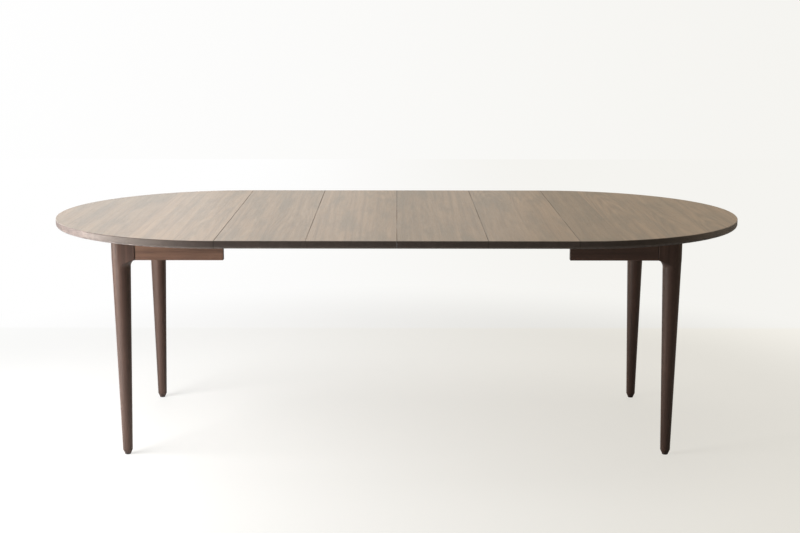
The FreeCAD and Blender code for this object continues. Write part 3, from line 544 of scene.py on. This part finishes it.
@dataclass(frozen=True)
class Nylon:
    """A moulded nylon with a faint mottle and a fine skin."""

    name: str
    base: Colour
    worn: Colour
    roughness: float
    mottle_waves: float = 140.0
    skin_waves: float = 2600.0
    wear: Range = (0.35, 0.75)
    mottle_dulls: float = 0.2
    skin_strength: float = 0.12
    skin_height: float = 0.0002

    def material(self) -> bpy.types.Material:
        """Builds the finish.

        Returns:
            The material.
        """
        material, graph = new_material(self.name)
        place = graph.place()
        mottle = graph.noise(*[part * self.mottle_waves for part in place], detail=3.0)
        skin = graph.noise(*[part * self.skin_waves for part in place])
        colour = graph.blend(graph.step(mottle, *self.wear), self.base, self.worn)
        roughness = self.roughness + (mottle - MIDWAY) * self.mottle_dulls
        graph.surface(colour, roughness, Normal=graph.bump(skin, self.skin_strength, self.skin_height))
        return material


Finish = Wood | Plating | Nylon


def walnut(along: Axis, cut: Cut, shoulder: float = 0.0) -> Wood:
    """The table's stained walnut.

    Args:
        along: The way the grain runs.
        cut: The choice of walnut.
        shoulder: How far from the middle its ends meet the legs in a dark line of painted shadow, or 0 for
            none.

    Returns:
        The finish.
    """
    if cut is Cut.BOARDS:
        return Wood(
            name="walnut_boards", along=along,
            dark=tint(80, 60, 46), middle=tint(112, 87, 67), light=tint(138, 111, 88),
            smudge_tone=tint(68, 56, 46), board_width=0.14, board_change=0.42, bands=0.62, figure=0.16,
            smudges=0.72, sapwood=0.35, pores=0.3, end_share=0.9, end_tone=tint(44, 35, 34),
            roughness=0.36, sheen=0.8, sheen_tint=tint(255, 244, 228), rim_share=0.65,
            joint_pitch=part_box("leaf_2_panel")[0].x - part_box("leaf_1_panel")[0].x,
        )
    # Painted light: the rail walnut is lighter than the legs' and stands for the window light falling on the
    # left end's rails.
    if cut is Cut.RAIL:
        tones = {"dark": tint(64, 46, 38), "middle": tint(104, 77, 63), "light": tint(134, 103, 86)}
    else:
        tones = {"dark": tint(42, 30, 26), "middle": tint(68, 49, 42), "light": tint(94, 70, 60)}
    return Wood(
        name=f"walnut_{cut.value}", along=along, **tones, smudge_tone=tint(52, 39, 35),
        board_width=3.0, board_change=0.0, bands=0.5, figure=0.05, smudges=0.3, sapwood=0.0, pores=0.3,
        end_share=0.7, end_tone=tint(42, 31, 28), roughness=0.46, sheen=0.5, sheen_tint=tint(255, 244, 234),
        shoulder=shoulder,
    )


def beech(along: Axis) -> Wood:
    """The plain beech of the slides and cleats."""
    return Wood(
        name="beech", along=along,
        dark=tint(176, 136, 98), middle=tint(204, 167, 127), light=tint(222, 190, 152),
        smudge_tone=tint(182, 142, 104), board_width=3.0, board_change=0.0, bands=0.45, figure=0.04,
        smudges=0.2, sapwood=0.0, pores=0.22, end_share=0.6, end_tone=tint(160, 122, 88),
        roughness=0.58, sheen=0.4, sheen_tint=tint(255, 255, 255),
    )


STEEL = Plating("zinc_steel_plated", tint(172, 174, 175), tint(148, 150, 152), 0.36)
GEAR = Nylon("gear_nylon_moulded", tint(226, 220, 202), tint(206, 198, 178), 0.45)
GLIDE = Nylon("glide_nylon_moulded", tint(34, 30, 28), tint(48, 43, 40), 0.55)


class Finishes:
    """Makes each material once and puts it on nodes and pieces."""

    def __init__(self) -> None:
        """Starts with nothing made."""
        self.made: dict[Finish, bpy.types.Material] = {}

    def apply(self, finish: Finish, *pieces: bpy.types.Object) -> None:
        """Gives pieces a finish.

        Args:
            finish: The finish.
            pieces: The objects that get it.
        """
        if finish not in self.made:
            self.made[finish] = finish.material()
        for piece in pieces:
            piece.data.materials.clear()
            piece.data.materials.append(self.made[finish])
            log.info("%s: %s", piece.name, self.made[finish].name)


MICROMETRES = 1e6
SORTING_DIGITS = 4


def solid_boxes(piece: bpy.types.Object) -> list[Box]:
    """Finds the separate solids of a node, which share no point.

    Args:
        piece: The node's object, a mesh of loose triangles.

    Returns:
        The lowest and highest corner of each solid, from left to right and front to back.
    """
    owner: dict[PointKey, PointKey] = {}

    def root(key: PointKey) -> PointKey:
        """Follows the owners of a point.

        Args:
            key: The point.

        Returns:
            The point that stands for its solid.
        """
        while owner[key] != key:
            owner[key] = owner[owner[key]]
            key = owner[key]
        return key

    keys = [tuple(round(value * MICROMETRES) for value in vertex.co) for vertex in piece.data.vertices]
    for key in keys:
        owner.setdefault(key, key)
    for polygon in piece.data.polygons:
        first, *others = [keys[index] for index in polygon.vertices]
        for other in others:
            owner[root(other)] = root(first)
    groups: dict[PointKey, list[Vector]] = {}
    for key, vertex in zip(keys, piece.data.vertices):
        groups.setdefault(root(key), []).append(vertex.co)
    boxes = []
    for points in groups.values():
        low = Vector([min(point[axis] for point in points) for axis in range(3)])
        high = Vector([max(point[axis] for point in points) for axis in range(3)])
        boxes.append((low, high))
    return sorted(boxes, key=lambda box: (round(box[0].x, SORTING_DIGITS), round(box[0].y, SORTING_DIGITS)))


def deselect() -> None:
    """Leaves nothing selected, so that an operator acts on one piece."""
    if bpy.context.object and bpy.context.object.mode != "OBJECT":
        bpy.ops.object.mode_set(mode="OBJECT")
    bpy.ops.object.select_all(action="DESELECT")


def pick_faces(piece: bpy.types.Object, wanted: Callable[[bpy.types.MeshPolygon], bool]) -> None:
    """Selects some faces of a piece that is in edit mode.

    Args:
        piece: The piece.
        wanted: A test that picks out its faces.
    """
    bpy.ops.mesh.select_all(action="DESELECT")
    bpy.ops.object.mode_set(mode="OBJECT")
    for polygon in piece.data.polygons:
        polygon.select = wanted(polygon)
    bpy.ops.object.mode_set(mode="EDIT")


def copies_joined(pattern: bpy.types.Object, name: str, places: list[Matrix]) -> bpy.types.Object:
    """Makes one piece of many copies of a pattern.

    Args:
        pattern: The modelled piece, at the origin.
        name: The name of the joined piece.
        places: Where each copy goes.

    Returns:
        The joined piece, at the origin with its places in its mesh.
    """
    deselect()
    copies = []
    for place in places:
        copy = pattern.copy()
        copy.data = pattern.data.copy()
        copy.data.transform(place)
        bpy.context.collection.objects.link(copy)
        copy.select_set(True)
        copies.append(copy)
    bpy.context.view_layer.objects.active = copies[0]
    bpy.ops.object.join()
    joined = bpy.context.object
    joined.name = name
    joined.data.name = name
    deselect()
    return joined


def facing(point: Vector, outward: Vector) -> Matrix:
    """The place of a copy whose +Z looks outward from a point."""
    return Matrix.Translation(point) @ outward.to_track_quat("Z", "Y").to_matrix().to_4x4()


@dataclass
class Fastener:
    """A small steel fitting that is modelled once and copied to every place that needs it."""

    finishes: Finishes
    pattern: bpy.types.Object | None = None
    count: int = 0

    def model(self) -> bpy.types.Object:
        """Models one fitting at the origin."""
        raise NotImplementedError

    def put(self, name: str, body: str, spots: list[Spot]) -> bpy.types.Object:
        """Puts copies at points, as one piece that rides on a body.

        Args:
            name: The piece's name.
            body: The body that carries it.
            spots: Pairs of a point and the direction that the fitting looks in.

        Returns:
            The piece.
        """
        if self.pattern is None:
            self.pattern = self.model()
        piece = copies_joined(self.pattern, name, [facing(point, outward) for point, outward in spots])
        self.finishes.apply(STEEL, piece)
        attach(piece, body)
        self.count += len(spots)
        log.info("%s: %d of them on %s", name, len(spots), body)
        return piece

    def put_away(self) -> None:
        """Removes the pattern, which is no part of the table."""
        if self.pattern is not None:
            bpy.data.objects.remove(self.pattern, do_unlink=True)
            self.pattern = None


@dataclass
class Screws(Fastener):
    """Countersunk cross-head screws."""

    sides: int = 20
    head_radius: float = 0.0036
    head_depth: float = 0.0012
    neck_share: float = 0.55
    rim_share: float = 0.12
    proud: float = 0.00005
    slot_width: float = 0.0011
    slot_length: float = 0.0043
    slot_depth: float = 0.0007
    flatness: float = 0.9

    def model(self) -> bpy.types.Object:
        """Models one screw head, its face at the origin and its neck below.

        Returns:
            The head.
        """
        deselect()
        bpy.ops.mesh.primitive_cylinder_add(
            vertices=self.sides, radius=self.head_radius, depth=self.head_depth,
            location=(0, 0, self.proud - self.head_depth / 2),
        )
        head = bpy.context.object
        bpy.ops.object.transform_apply(location=True, rotation=True, scale=True)
        bpy.ops.object.mode_set(mode="EDIT")
        pick_faces(head, lambda face: face.normal.z < -self.flatness)
        bpy.ops.transform.resize(value=(self.neck_share, self.neck_share, 1.0))
        pick_faces(head, lambda face: face.normal.z > self.flatness)
        bpy.ops.mesh.inset(thickness=self.head_radius * self.rim_share, depth=0.0)
        bpy.ops.transform.translate(value=(0, 0, self.proud))
        bpy.ops.object.mode_set(mode="OBJECT")
        for turn in (0.0, math.pi / 2):
            self.cut_slot(head, turn)
        deselect()
        return head

    def cut_slot(self, head: bpy.types.Object, turn: float) -> None:
        """Cuts one arm of the cross into the head.

        Args:
            head: The head.
            turn: The arm's angle about the screw's axis.
        """
        deselect()
        bpy.ops.mesh.primitive_cube_add(size=1.0, rotation=(0, 0, turn))
        cutter = bpy.context.object
        cutter.scale = (self.slot_length, self.slot_width, self.slot_depth * 2)
        cutter.location.z = self.proud * 2
        modifier = head.modifiers.new("slot", "BOOLEAN")
        modifier.operation = "DIFFERENCE"
        modifier.object = cutter
        bpy.context.view_layer.objects.active = head
        bpy.ops.object.modifier_apply(modifier=modifier.name)
        bpy.data.objects.remove(cutter, do_unlink=True)


@dataclass
class Bolts(Fastener):
    """Hanger bolts, plain near the leg and then threaded, as large as the rods they stand for."""

    rods: str = "left_hanger_bolts"
    pitch: float = 0.0014
    groove: float = 0.0006
    threaded_share: float = 0.7
    sides: int = 18

    def model(self) -> bpy.types.Object:
        """Models one bolt along Z, with its middle at the origin.

        Returns:
            The bolt.
        """
        low, high = solid_boxes(frame["nodes"][self.rods])[0]
        radius = (high.z - low.z) / 2
        reach = (high.x - low.x) * math.sqrt(2) - 2 * radius
        threaded = reach * self.threaded_share
        turns = round(threaded / self.pitch)
        narrow = 1 - self.groove / radius
        deselect()
        bpy.ops.mesh.primitive_circle_add(
            vertices=self.sides, radius=radius, fill_type="NGON", location=(0, 0, -reach / 2),
        )
        bolt = bpy.context.object
        bpy.ops.object.transform_apply(location=True, rotation=True, scale=True)
        bpy.ops.object.mode_set(mode="EDIT")
        bpy.ops.mesh.select_all(action="SELECT")
        bpy.ops.mesh.extrude_region_move(TRANSFORM_OT_translate={"value": (0, 0, reach - threaded)})
        half_turn = (0, 0, threaded / turns / 2)
        for _ in range(turns):
            for scale in (narrow, 1 / narrow):
                bpy.ops.mesh.extrude_region_move(TRANSFORM_OT_translate={"value": half_turn})
                bpy.ops.transform.resize(value=(scale, scale, 1.0))
        bpy.ops.mesh.select_all(action="SELECT")
        bpy.ops.mesh.normals_make_consistent(inside=False)
        deselect()
        return bolt


@dataclass
class EndFrame:
    """One end of the table: its half-round top, two legs, three aprons and what fastens them."""

    side: Side
    finishes: Finishes
    screws: Screws
    bolts: Bolts
    clip_thick: float = 0.0016
    clip_screw_inset: float = 0.008
    flange_width: float = 0.028
    bracket_thick: float = 0.0025
    flange_screw_rise: float = 0.014
    bar_width: float = 0.02
    bar_screw_shares: tuple[float, ...] = (0.12, 0.48, 0.84)

    @property
    def body(self) -> str:
        """The body that carries this end."""
        return f"{self.side.word}_end"

    def nodes(self, *words: str) -> list[bpy.types.Object]:
        """This end's nodes, by what follows the side in their names."""
        return [frame["nodes"][f"{self.side.word}_{word}"] for word in words]

    def dress(self) -> None:
        """Gives the pieces of this end their finishes, with rails painted lighter on the left end and darker
        on the right, painted light and shade of the window on the left.
        """
        # Painted light and shade: the left end's rails get the lighter rail walnut and the right end's the
        # dark leg walnut, for the window's falloff from the left.
        rail = Cut.RAIL if self.side is Side.LEFT else Cut.LEG
        side_low, side_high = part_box(f"{self.side.word}_front_apron")
        side_shoulder = max(abs(side_low.x), abs(side_high.x))
        end_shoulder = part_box(f"{self.side.word}_end_apron")[1].y
        self.finishes.apply(walnut(Axis.Y, Cut.BOARDS), *self.nodes("top"))
        self.finishes.apply(walnut(Axis.Z, Cut.LEG), *self.nodes("front_leg", "rear_leg"))
        self.finishes.apply(walnut(Axis.X, rail, side_shoulder), *self.nodes("front_apron", "rear_apron"))
        self.finishes.apply(walnut(Axis.Y, rail, end_shoulder), *self.nodes("end_apron"))
        self.finishes.apply(beech(Axis.X), *self.nodes("slide_bars"))
        self.finishes.apply(STEEL, *self.nodes("corner_brackets", "hanger_bolts", "wing_nuts", "top_clips"))
        self.finishes.apply(GLIDE, *self.nodes("glides"))

    def build(self) -> None:
        """Adds the threaded bolts and the screws of the clips, brackets and bars."""
        rods = self.nodes("hanger_bolts")[0]
        bolts = self.bolts.put(f"{self.side.word}_threaded_bolts", self.body, self.bolt_spots(rods))
        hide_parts(rods.name)
        self.screws.put(f"{self.side.word}_clip_screws", self.body, self.clip_spots())
        self.screws.put(f"{self.side.word}_bracket_screws", self.body, self.bracket_spots())
        self.screws.put(f"{self.side.word}_bar_screws", self.body, self.bar_spots())

    def bolt_spots(self, rods: bpy.types.Object) -> list[Spot]:
        """Finds the middle of each rod that draws a leg in.

        Args:
            rods: The node of the plain rods.

        Returns:
            Points and directions.
        """
        spots = []
        for low, high in solid_boxes(rods):
            middle = (low + high) / 2
            spots.append((middle, Vector((-self.side.value, -math.copysign(1, middle.y), 0)).normalized()))
        return spots

    def clip_spots(self) -> list[Spot]:
        """Finds where each clip is screwed to the top, near the tip of its flange.

        Returns:
            Points and directions.
        """
        spots = []
        for low, high in solid_boxes(self.nodes("top_clips")[0]):
            middle = (low + high) / 2
            size = high - low
            point = Vector((middle.x, middle.y, high.z - self.clip_thick))
            axis = 0 if size.x > size.y else 1
            tip = low[axis] if abs(low[axis]) < abs(high[axis]) else high[axis]
            point[axis] = tip + math.copysign(self.clip_screw_inset, middle[axis] - tip)
            spots.append((point, DOWN))
        return spots

    def bracket_spots(self) -> list[Spot]:
        """Finds the screws of each corner bracket, two on either flange.

        Returns:
            Points and directions.
        """
        spots = []
        half_flange = self.flange_width / 2
        for low, high in solid_boxes(self.nodes("corner_brackets")[0]):
            middle = (low + high) / 2
            inward_x = -self.side.value
            inward_y = -math.copysign(1, middle.y)
            outer_x, inner_x = (low.x, high.x) if inward_x > 0 else (high.x, low.x)
            outer_y, inner_y = (low.y, high.y) if inward_y > 0 else (high.y, low.y)
            side_x, end_x = inner_x - inward_x * half_flange, outer_x + inward_x * self.bracket_thick
            side_y, end_y = outer_y + inward_y * self.bracket_thick, inner_y - inward_y * half_flange
            for z in (middle.z - self.flange_screw_rise, middle.z + self.flange_screw_rise):
                spots.append((Vector((side_x, side_y, z)), Vector((0, inward_y, 0))))
                spots.append((Vector((end_x, end_y, z)), Vector((inward_x, 0, 0))))
        return spots

    def bar_spots(self) -> list[Spot]:
        """Finds the screws that hold the outermost bars to the top, from below.

        Returns:
            Points and directions.
        """
        top_low, top_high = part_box(f"{self.side.word}_top")
        split = top_high.x if self.side is Side.LEFT else top_low.x
        spots = []
        for low, high in solid_boxes(self.nodes("slide_bars")[0]):
            far = low.x if self.side is Side.LEFT else high.x
            for share in self.bar_screw_shares:
                x = far + (split - far) * share
                spots.append((Vector((x, self.bar_line(low, high), low.z)), DOWN))
        return spots

    def bar_line(self, low: Vector, high: Vector) -> float:
        """The middle of a bar's flat underside, which leaves out its tongue."""
        return high.y - self.bar_width / 2 if abs(high.y) > abs(low.y) else low.y + self.bar_width / 2


def frame_body(node: str) -> str:
    """The body that carries a node."""
    return next(name for name, body in frame["bodies"].items() if frame["nodes"][node].parent == body)


@dataclass(frozen=True)
class LockPlate:
    """The sizes of a lock plate, the same on leaves and ends."""

    thick: float = 0.002
    screw_inset: float = 0.0042

    def spots(self, node: str) -> list[Spot]:
        """Finds the four screws of each plate, near its corners.

        Args:
            node: The plates' node.

        Returns:
            Points and directions.
        """
        spots = []
        for low, high in solid_boxes(frame["nodes"][node]):
            for x in (low.x + self.screw_inset, high.x - self.screw_inset):
                for y in (low.y + self.screw_inset, high.y - self.screw_inset):
                    spots.append((Vector((x, y, high.z - self.thick)), DOWN))
        return spots


@dataclass
class Leaf:
    """One lift-out leaf with its cleats, lock plates and two levers."""

    number: int
    finishes: Finishes
    screws: Screws
    plate: LockPlate = LockPlate()
    cleat_screw_shares: tuple[float, ...] = (-0.72, 0.0, 0.72)

    @property
    def name(self) -> str:
        """The word that this leaf's node names begin with."""
        return f"leaf_{self.number}"

    def nodes(self, *words: str) -> list[bpy.types.Object]:
        """This leaf's nodes, by what follows its name in theirs."""
        return [frame["nodes"][f"{self.name}_{word}"] for word in words]

    def dress(self) -> None:
        """Gives the pieces of this leaf their finishes."""
        self.finishes.apply(walnut(Axis.Y, Cut.BOARDS), *self.nodes("panel"))
        self.finishes.apply(beech(Axis.X), *self.nodes("cleats"))
        self.finishes.apply(STEEL, *self.nodes("lock_plates", "front_lever", "rear_lever"))

    def build(self) -> None:
        """Adds the screws of the cleats and plates."""
        body = frame_body(f"{self.name}_panel")
        self.screws.put(f"{self.name}_cleat_screws", body, self.cleat_spots())
        self.screws.put(f"{self.name}_plate_screws", body, self.plate.spots(f"{self.name}_lock_plates"))

    def cleat_spots(self) -> list[Spot]:
        """Finds the screws that hold each cleat, from below.

        Returns:
            Points and directions.
        """
        spots = []
        for low, high in solid_boxes(self.nodes("cleats")[0]):
            middle = (low + high) / 2
            half = (high.x - low.x) / 2
            for share in self.cleat_screw_shares:
                spots.append((Vector((middle.x + share * half, middle.y, low.z)), DOWN))
        return spots


@dataclass
class SlideRun:
    """The middle bars, battens, racks and pinions between the two ends."""

    finishes: Finishes
    screws: Screws
    screw_inset: float = 0.010

    def dress(self) -> None:
        """Gives the bars, battens and gears their finishes."""
        nodes = frame["nodes"]
        for stage in STAGES:
            self.finishes.apply(beech(Axis.X), nodes[f"{stage}_slide_bars"])
            self.finishes.apply(beech(Axis.Y), nodes[f"{stage}_tie"])
        self.finishes.apply(GEAR, nodes["left_mid_racks"], nodes["right_mid_racks"])
        self.finishes.apply(GEAR, nodes["front_pinion"], nodes["rear_pinion"])
        self.finishes.apply(STEEL, nodes["pinion_axles"])

    def build(self) -> None:
        """Adds the screws that hold each batten to its two bars."""
        for stage in STAGES:
            low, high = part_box(f"{stage}_tie")
            spots = []
            for y in (low.y + self.screw_inset, high.y - self.screw_inset):
                for x in (low.x + self.screw_inset, high.x - self.screw_inset):
                    spots.append((Vector((x, y, low.z)), DOWN))
            self.screws.put(f"{stage}_tie_screws", frame_body(f"{stage}_tie"), spots)


@dataclass
class EndLocks:
    """The lock fittings of the two ends: levers on the left, keeper studs on the right."""

    finishes: Finishes
    screws: Screws
    plate: LockPlate = LockPlate()

    def dress(self) -> None:
        """Gives the plates and levers their finish."""
        words = ("left_lock_plates", "right_lock_keepers", "left_front_lever", "left_rear_lever")
        self.finishes.apply(STEEL, *[frame["nodes"][word] for word in words])

    def build(self) -> None:
        """Adds the screws of the plates."""
        self.screws.put("left_plate_screws", "left_end", self.plate.spots("left_lock_plates"))
        self.screws.put("right_keeper_screws", "right_end", self.plate.spots("right_lock_keepers"))


Assembly = EndFrame | Leaf | SlideRun | EndLocks


@dataclass(frozen=True)
class Lamp:
    """A soft rectangular lamp that the camera doesn't see."""

    name: str
    spot: Point
    target: Point
    size: tuple[float, float]
    power: float
    mirrored: bool = True

    def hang(self) -> None:
        """Hangs the lamp and turns it to its target."""
        lamp = bpy.data.lights.new(self.name, "AREA")
        lamp.shape = "RECTANGLE"
        lamp.size, lamp.size_y = self.size
        lamp.energy = self.power
        holder = bpy.data.objects.new(self.name, lamp)
        look = Vector(self.target) - Vector(self.spot)
        turn = look.to_track_quat("-Z", "Y").to_matrix().to_4x4()
        holder.matrix_world = Matrix.Translation(self.spot) @ turn
        holder.visible_camera = False
        holder.visible_glossy = self.mirrored
        bpy.context.collection.objects.link(holder)
        log.info("%s: %.1f W", self.name, self.power)


# The side sheen hangs lower than the top, so that only rims, legs and rails mirror it.
LAMPS = (
    Lamp("side_window", (-2.05, -0.95, 1.1), (-0.6, -0.3, 0.65), (1.4, 1.7), 76.0, mirrored=False),
    Lamp("side_sheen", (-2.2, -0.9, 0.58), (-0.8, -0.3, 0.62), (1.6, 0.3), 16.5),
    Lamp("back_window_far", (-3.3, 3.4, 1.9), (-1.1, 0.0, 0.76), (5.0, 2.4), 16.0),
    Lamp("back_window_middle", (-2.3, 3.4, 1.9), (-0.3, 0.0, 0.76), (5.0, 2.4), 12.5),
    Lamp("back_window_near", (-1.3, 3.4, 1.9), (0.5, 0.0, 0.76), (5.0, 2.4), 10.5),
    Lamp("ceiling", (0.0, 0.5, 3.6), (0.0, 0.3, 0.7), (4.0, 2.5), 46.0),
)


@dataclass
class Studio:
    """The pale floor, the soft light and the camera."""

    eye: Point = (-0.001, -4.7802, 1.4516)
    focal_pixels: float = 1385.9
    pitch: float = 10.437
    yaw: float = -0.147
    roll: float = -0.084
    floor_half: float = 9.0
    floor_parts: int = 8
    floor_back: float = 1.52
    floor_back_blur: float = 0.03
    floor_turn: Range = (-1.6, 1.4)
    floor_roughness: float = 0.6
    floor_mottle: float = 0.2
    speck_waves: float = 9.0
    shadow_share: float = 0.3
    shadow_fade: Range = (1.5, 2.6)
    ambient: float = 0.04
    sky_turn: Range = (-0.35, 0.35)
    sky_front: Range = (-0.6, 0.2)
    front_dimming: float = 0.72
    bright: Colour = tint(255, 255, 255)
    # Floor tones: the floor dims from left to right across the floor turn, painted shade of the window's
    # falloff that the camera sees in the floor's glow.
    floor_left: Colour = tint(252, 252, 251)
    floor_right: Colour = tint(245, 242, 234)
    back_right: Colour = tint(245, 244, 240)
    near_sheen: Colour = tint(255, 248, 234)
    far_sheen: Colour = tint(236, 221, 196)

    def build(self) -> None:
        """Sets the stage."""
        bpy.context.scene.view_settings.view_transform = "Standard"
        self.lay_floor()
        self.light_world()
        for lamp in LAMPS:
            lamp.hang()
        self.add_camera()

    def lay_floor(self) -> None:
        """Lays a pale floor that looks nearly white with painted shade dimming it to the right, keeps a part
        of its shadow and is clear from below.
        """
        deselect()
        bpy.ops.mesh.primitive_grid_add(
            x_subdivisions=self.floor_parts, y_subdivisions=self.floor_parts, size=2 * self.floor_half,
        )
        floor = bpy.context.object
        floor.name = "floor"
        material, graph = new_material("pale_floor")
        x, y, z = graph.place()
        speck = graph.noise(x * self.speck_waves, y * self.speck_waves, z, detail=4.0)
        behind = graph.step(y, self.floor_back - self.floor_back_blur, self.floor_back + self.floor_back_blur)
        # Painted shade: the tone dims to the right, near the table and on the far strip behind it.
        rightwards = graph.step(x, *self.floor_turn)
        near_tone = graph.blend(rightwards, self.floor_left, self.floor_right)
        far_tone = graph.blend(rightwards, self.bright, self.back_right)
        tone = graph.blend(behind, near_tone, far_tone)
        roughness = self.floor_roughness + (speck - MIDWAY) * self.floor_mottle
        matt = graph.node("ShaderNodeBsdfPrincipled", None, {"Base Color": tone, "Roughness": roughness})
        glow = graph.node("ShaderNodeEmission", None, {"Color": tone, "Strength": 1.0})
        away = graph.step(graph.math("SQRT", x * x + y * y), *self.shadow_fade)
        kept = (1.0 - away) * self.shadow_share
        share = (1.0 - kept) * graph.seen("Is Camera Ray")
        upper = graph.node("ShaderNodeMixShader", None, {0: share, 1: matt, 2: glow})
        below = graph.node("ShaderNodeNewGeometry", None, None, "Backfacing")
        clear = graph.node("ShaderNodeBsdfTransparent")
        sheet = graph.node("ShaderNodeMixShader", None, {0: below, 1: upper, 2: clear})
        graph.node("ShaderNodeOutputMaterial", None, {"Surface": sheet})
        floor.data.materials.append(material)

    def light_world(self) -> None:
        """Surrounds the table with white that eyes and reflections see in full and matt surfaces dimmed."""
        world = bpy.data.worlds.new("studio")
        bpy.context.scene.world = world
        world.use_nodes = True
        graph = Graph(world.node_tree)
        x, y, _ = graph.split(graph.node("ShaderNodeTexCoord", None, None, "Generated"))
        rightwards = graph.step(x, *self.sky_turn)
        frontwards = 1.0 - graph.step(y, *self.sky_front)
        plain = graph.blend(rightwards, self.bright, self.back_right)
        shiny = graph.blend(rightwards, self.near_sheen, self.far_sheen)
        shiny = graph.darken(shiny, 1.0 - frontwards * self.front_dimming)
        glossy = graph.seen("Is Glossy Ray")
        direct = graph.math("MAXIMUM", graph.seen("Is Camera Ray"), graph.seen("Is Transmission Ray"))
        whole = graph.math("MAXIMUM", glossy, direct)
        strength = whole * (1.0 - self.ambient) + self.ambient
        colour = graph.blend(glossy, plain, shiny)
        sky = graph.node("ShaderNodeBackground", None, {"Color": colour, "Strength": strength})
        graph.node("ShaderNodeOutputWorld", None, {"Surface": sky})

    def add_camera(self) -> None:
        """Puts the camera where the picture was taken from."""
        pitch, yaw, roll = (math.radians(angle) for angle in (self.pitch, self.yaw, self.roll))
        heading = Vector((-math.sin(yaw), math.cos(yaw), 0.0))
        level = Vector((math.cos(yaw), math.sin(yaw), 0.0))
        forward = heading * math.cos(pitch) - UP * math.sin(pitch)
        upward = heading * math.sin(pitch) + UP * math.cos(pitch)
        right_axis = level * math.cos(roll) - upward * math.sin(roll)
        up_axis = level * math.sin(roll) + upward * math.cos(roll)
        turn = Matrix((right_axis, up_axis, -forward)).transposed().to_4x4()
        lens = bpy.data.cameras.new("camera")
        lens.sensor_width = SENSOR_WIDTH
        lens.lens = self.focal_pixels * SENSOR_WIDTH / IMAGE_WIDTH
        camera = bpy.data.objects.new("camera", lens)
        camera.matrix_world = Matrix.Translation(self.eye) @ turn
        bpy.context.collection.objects.link(camera)
        bpy.context.scene.camera = camera


def main() -> None:
    """Dresses every sub-assembly, adds the small pieces and sets the stage."""
    logging.basicConfig(level=logging.INFO, format="%(name)s: %(message)s")
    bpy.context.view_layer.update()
    finishes = Finishes()
    screws = Screws(finishes)
    bolts = Bolts(finishes)
    parts: list[Assembly] = [EndFrame(side, finishes, screws, bolts) for side in Side]
    parts += [Leaf(number, finishes, screws) for number in range(1, LEAVES + 1)]
    parts += [SlideRun(finishes, screws), EndLocks(finishes, screws)]
    for part in parts:
        part.dress()
        part.build()
        log.info("%s done", type(part).__name__)
    for fastener in (screws, bolts):
        fastener.put_away()
        log.info("%d %s in all", fastener.count, type(fastener).__name__.lower())
    Studio().build()


if __name__ == "__main__":
    main()
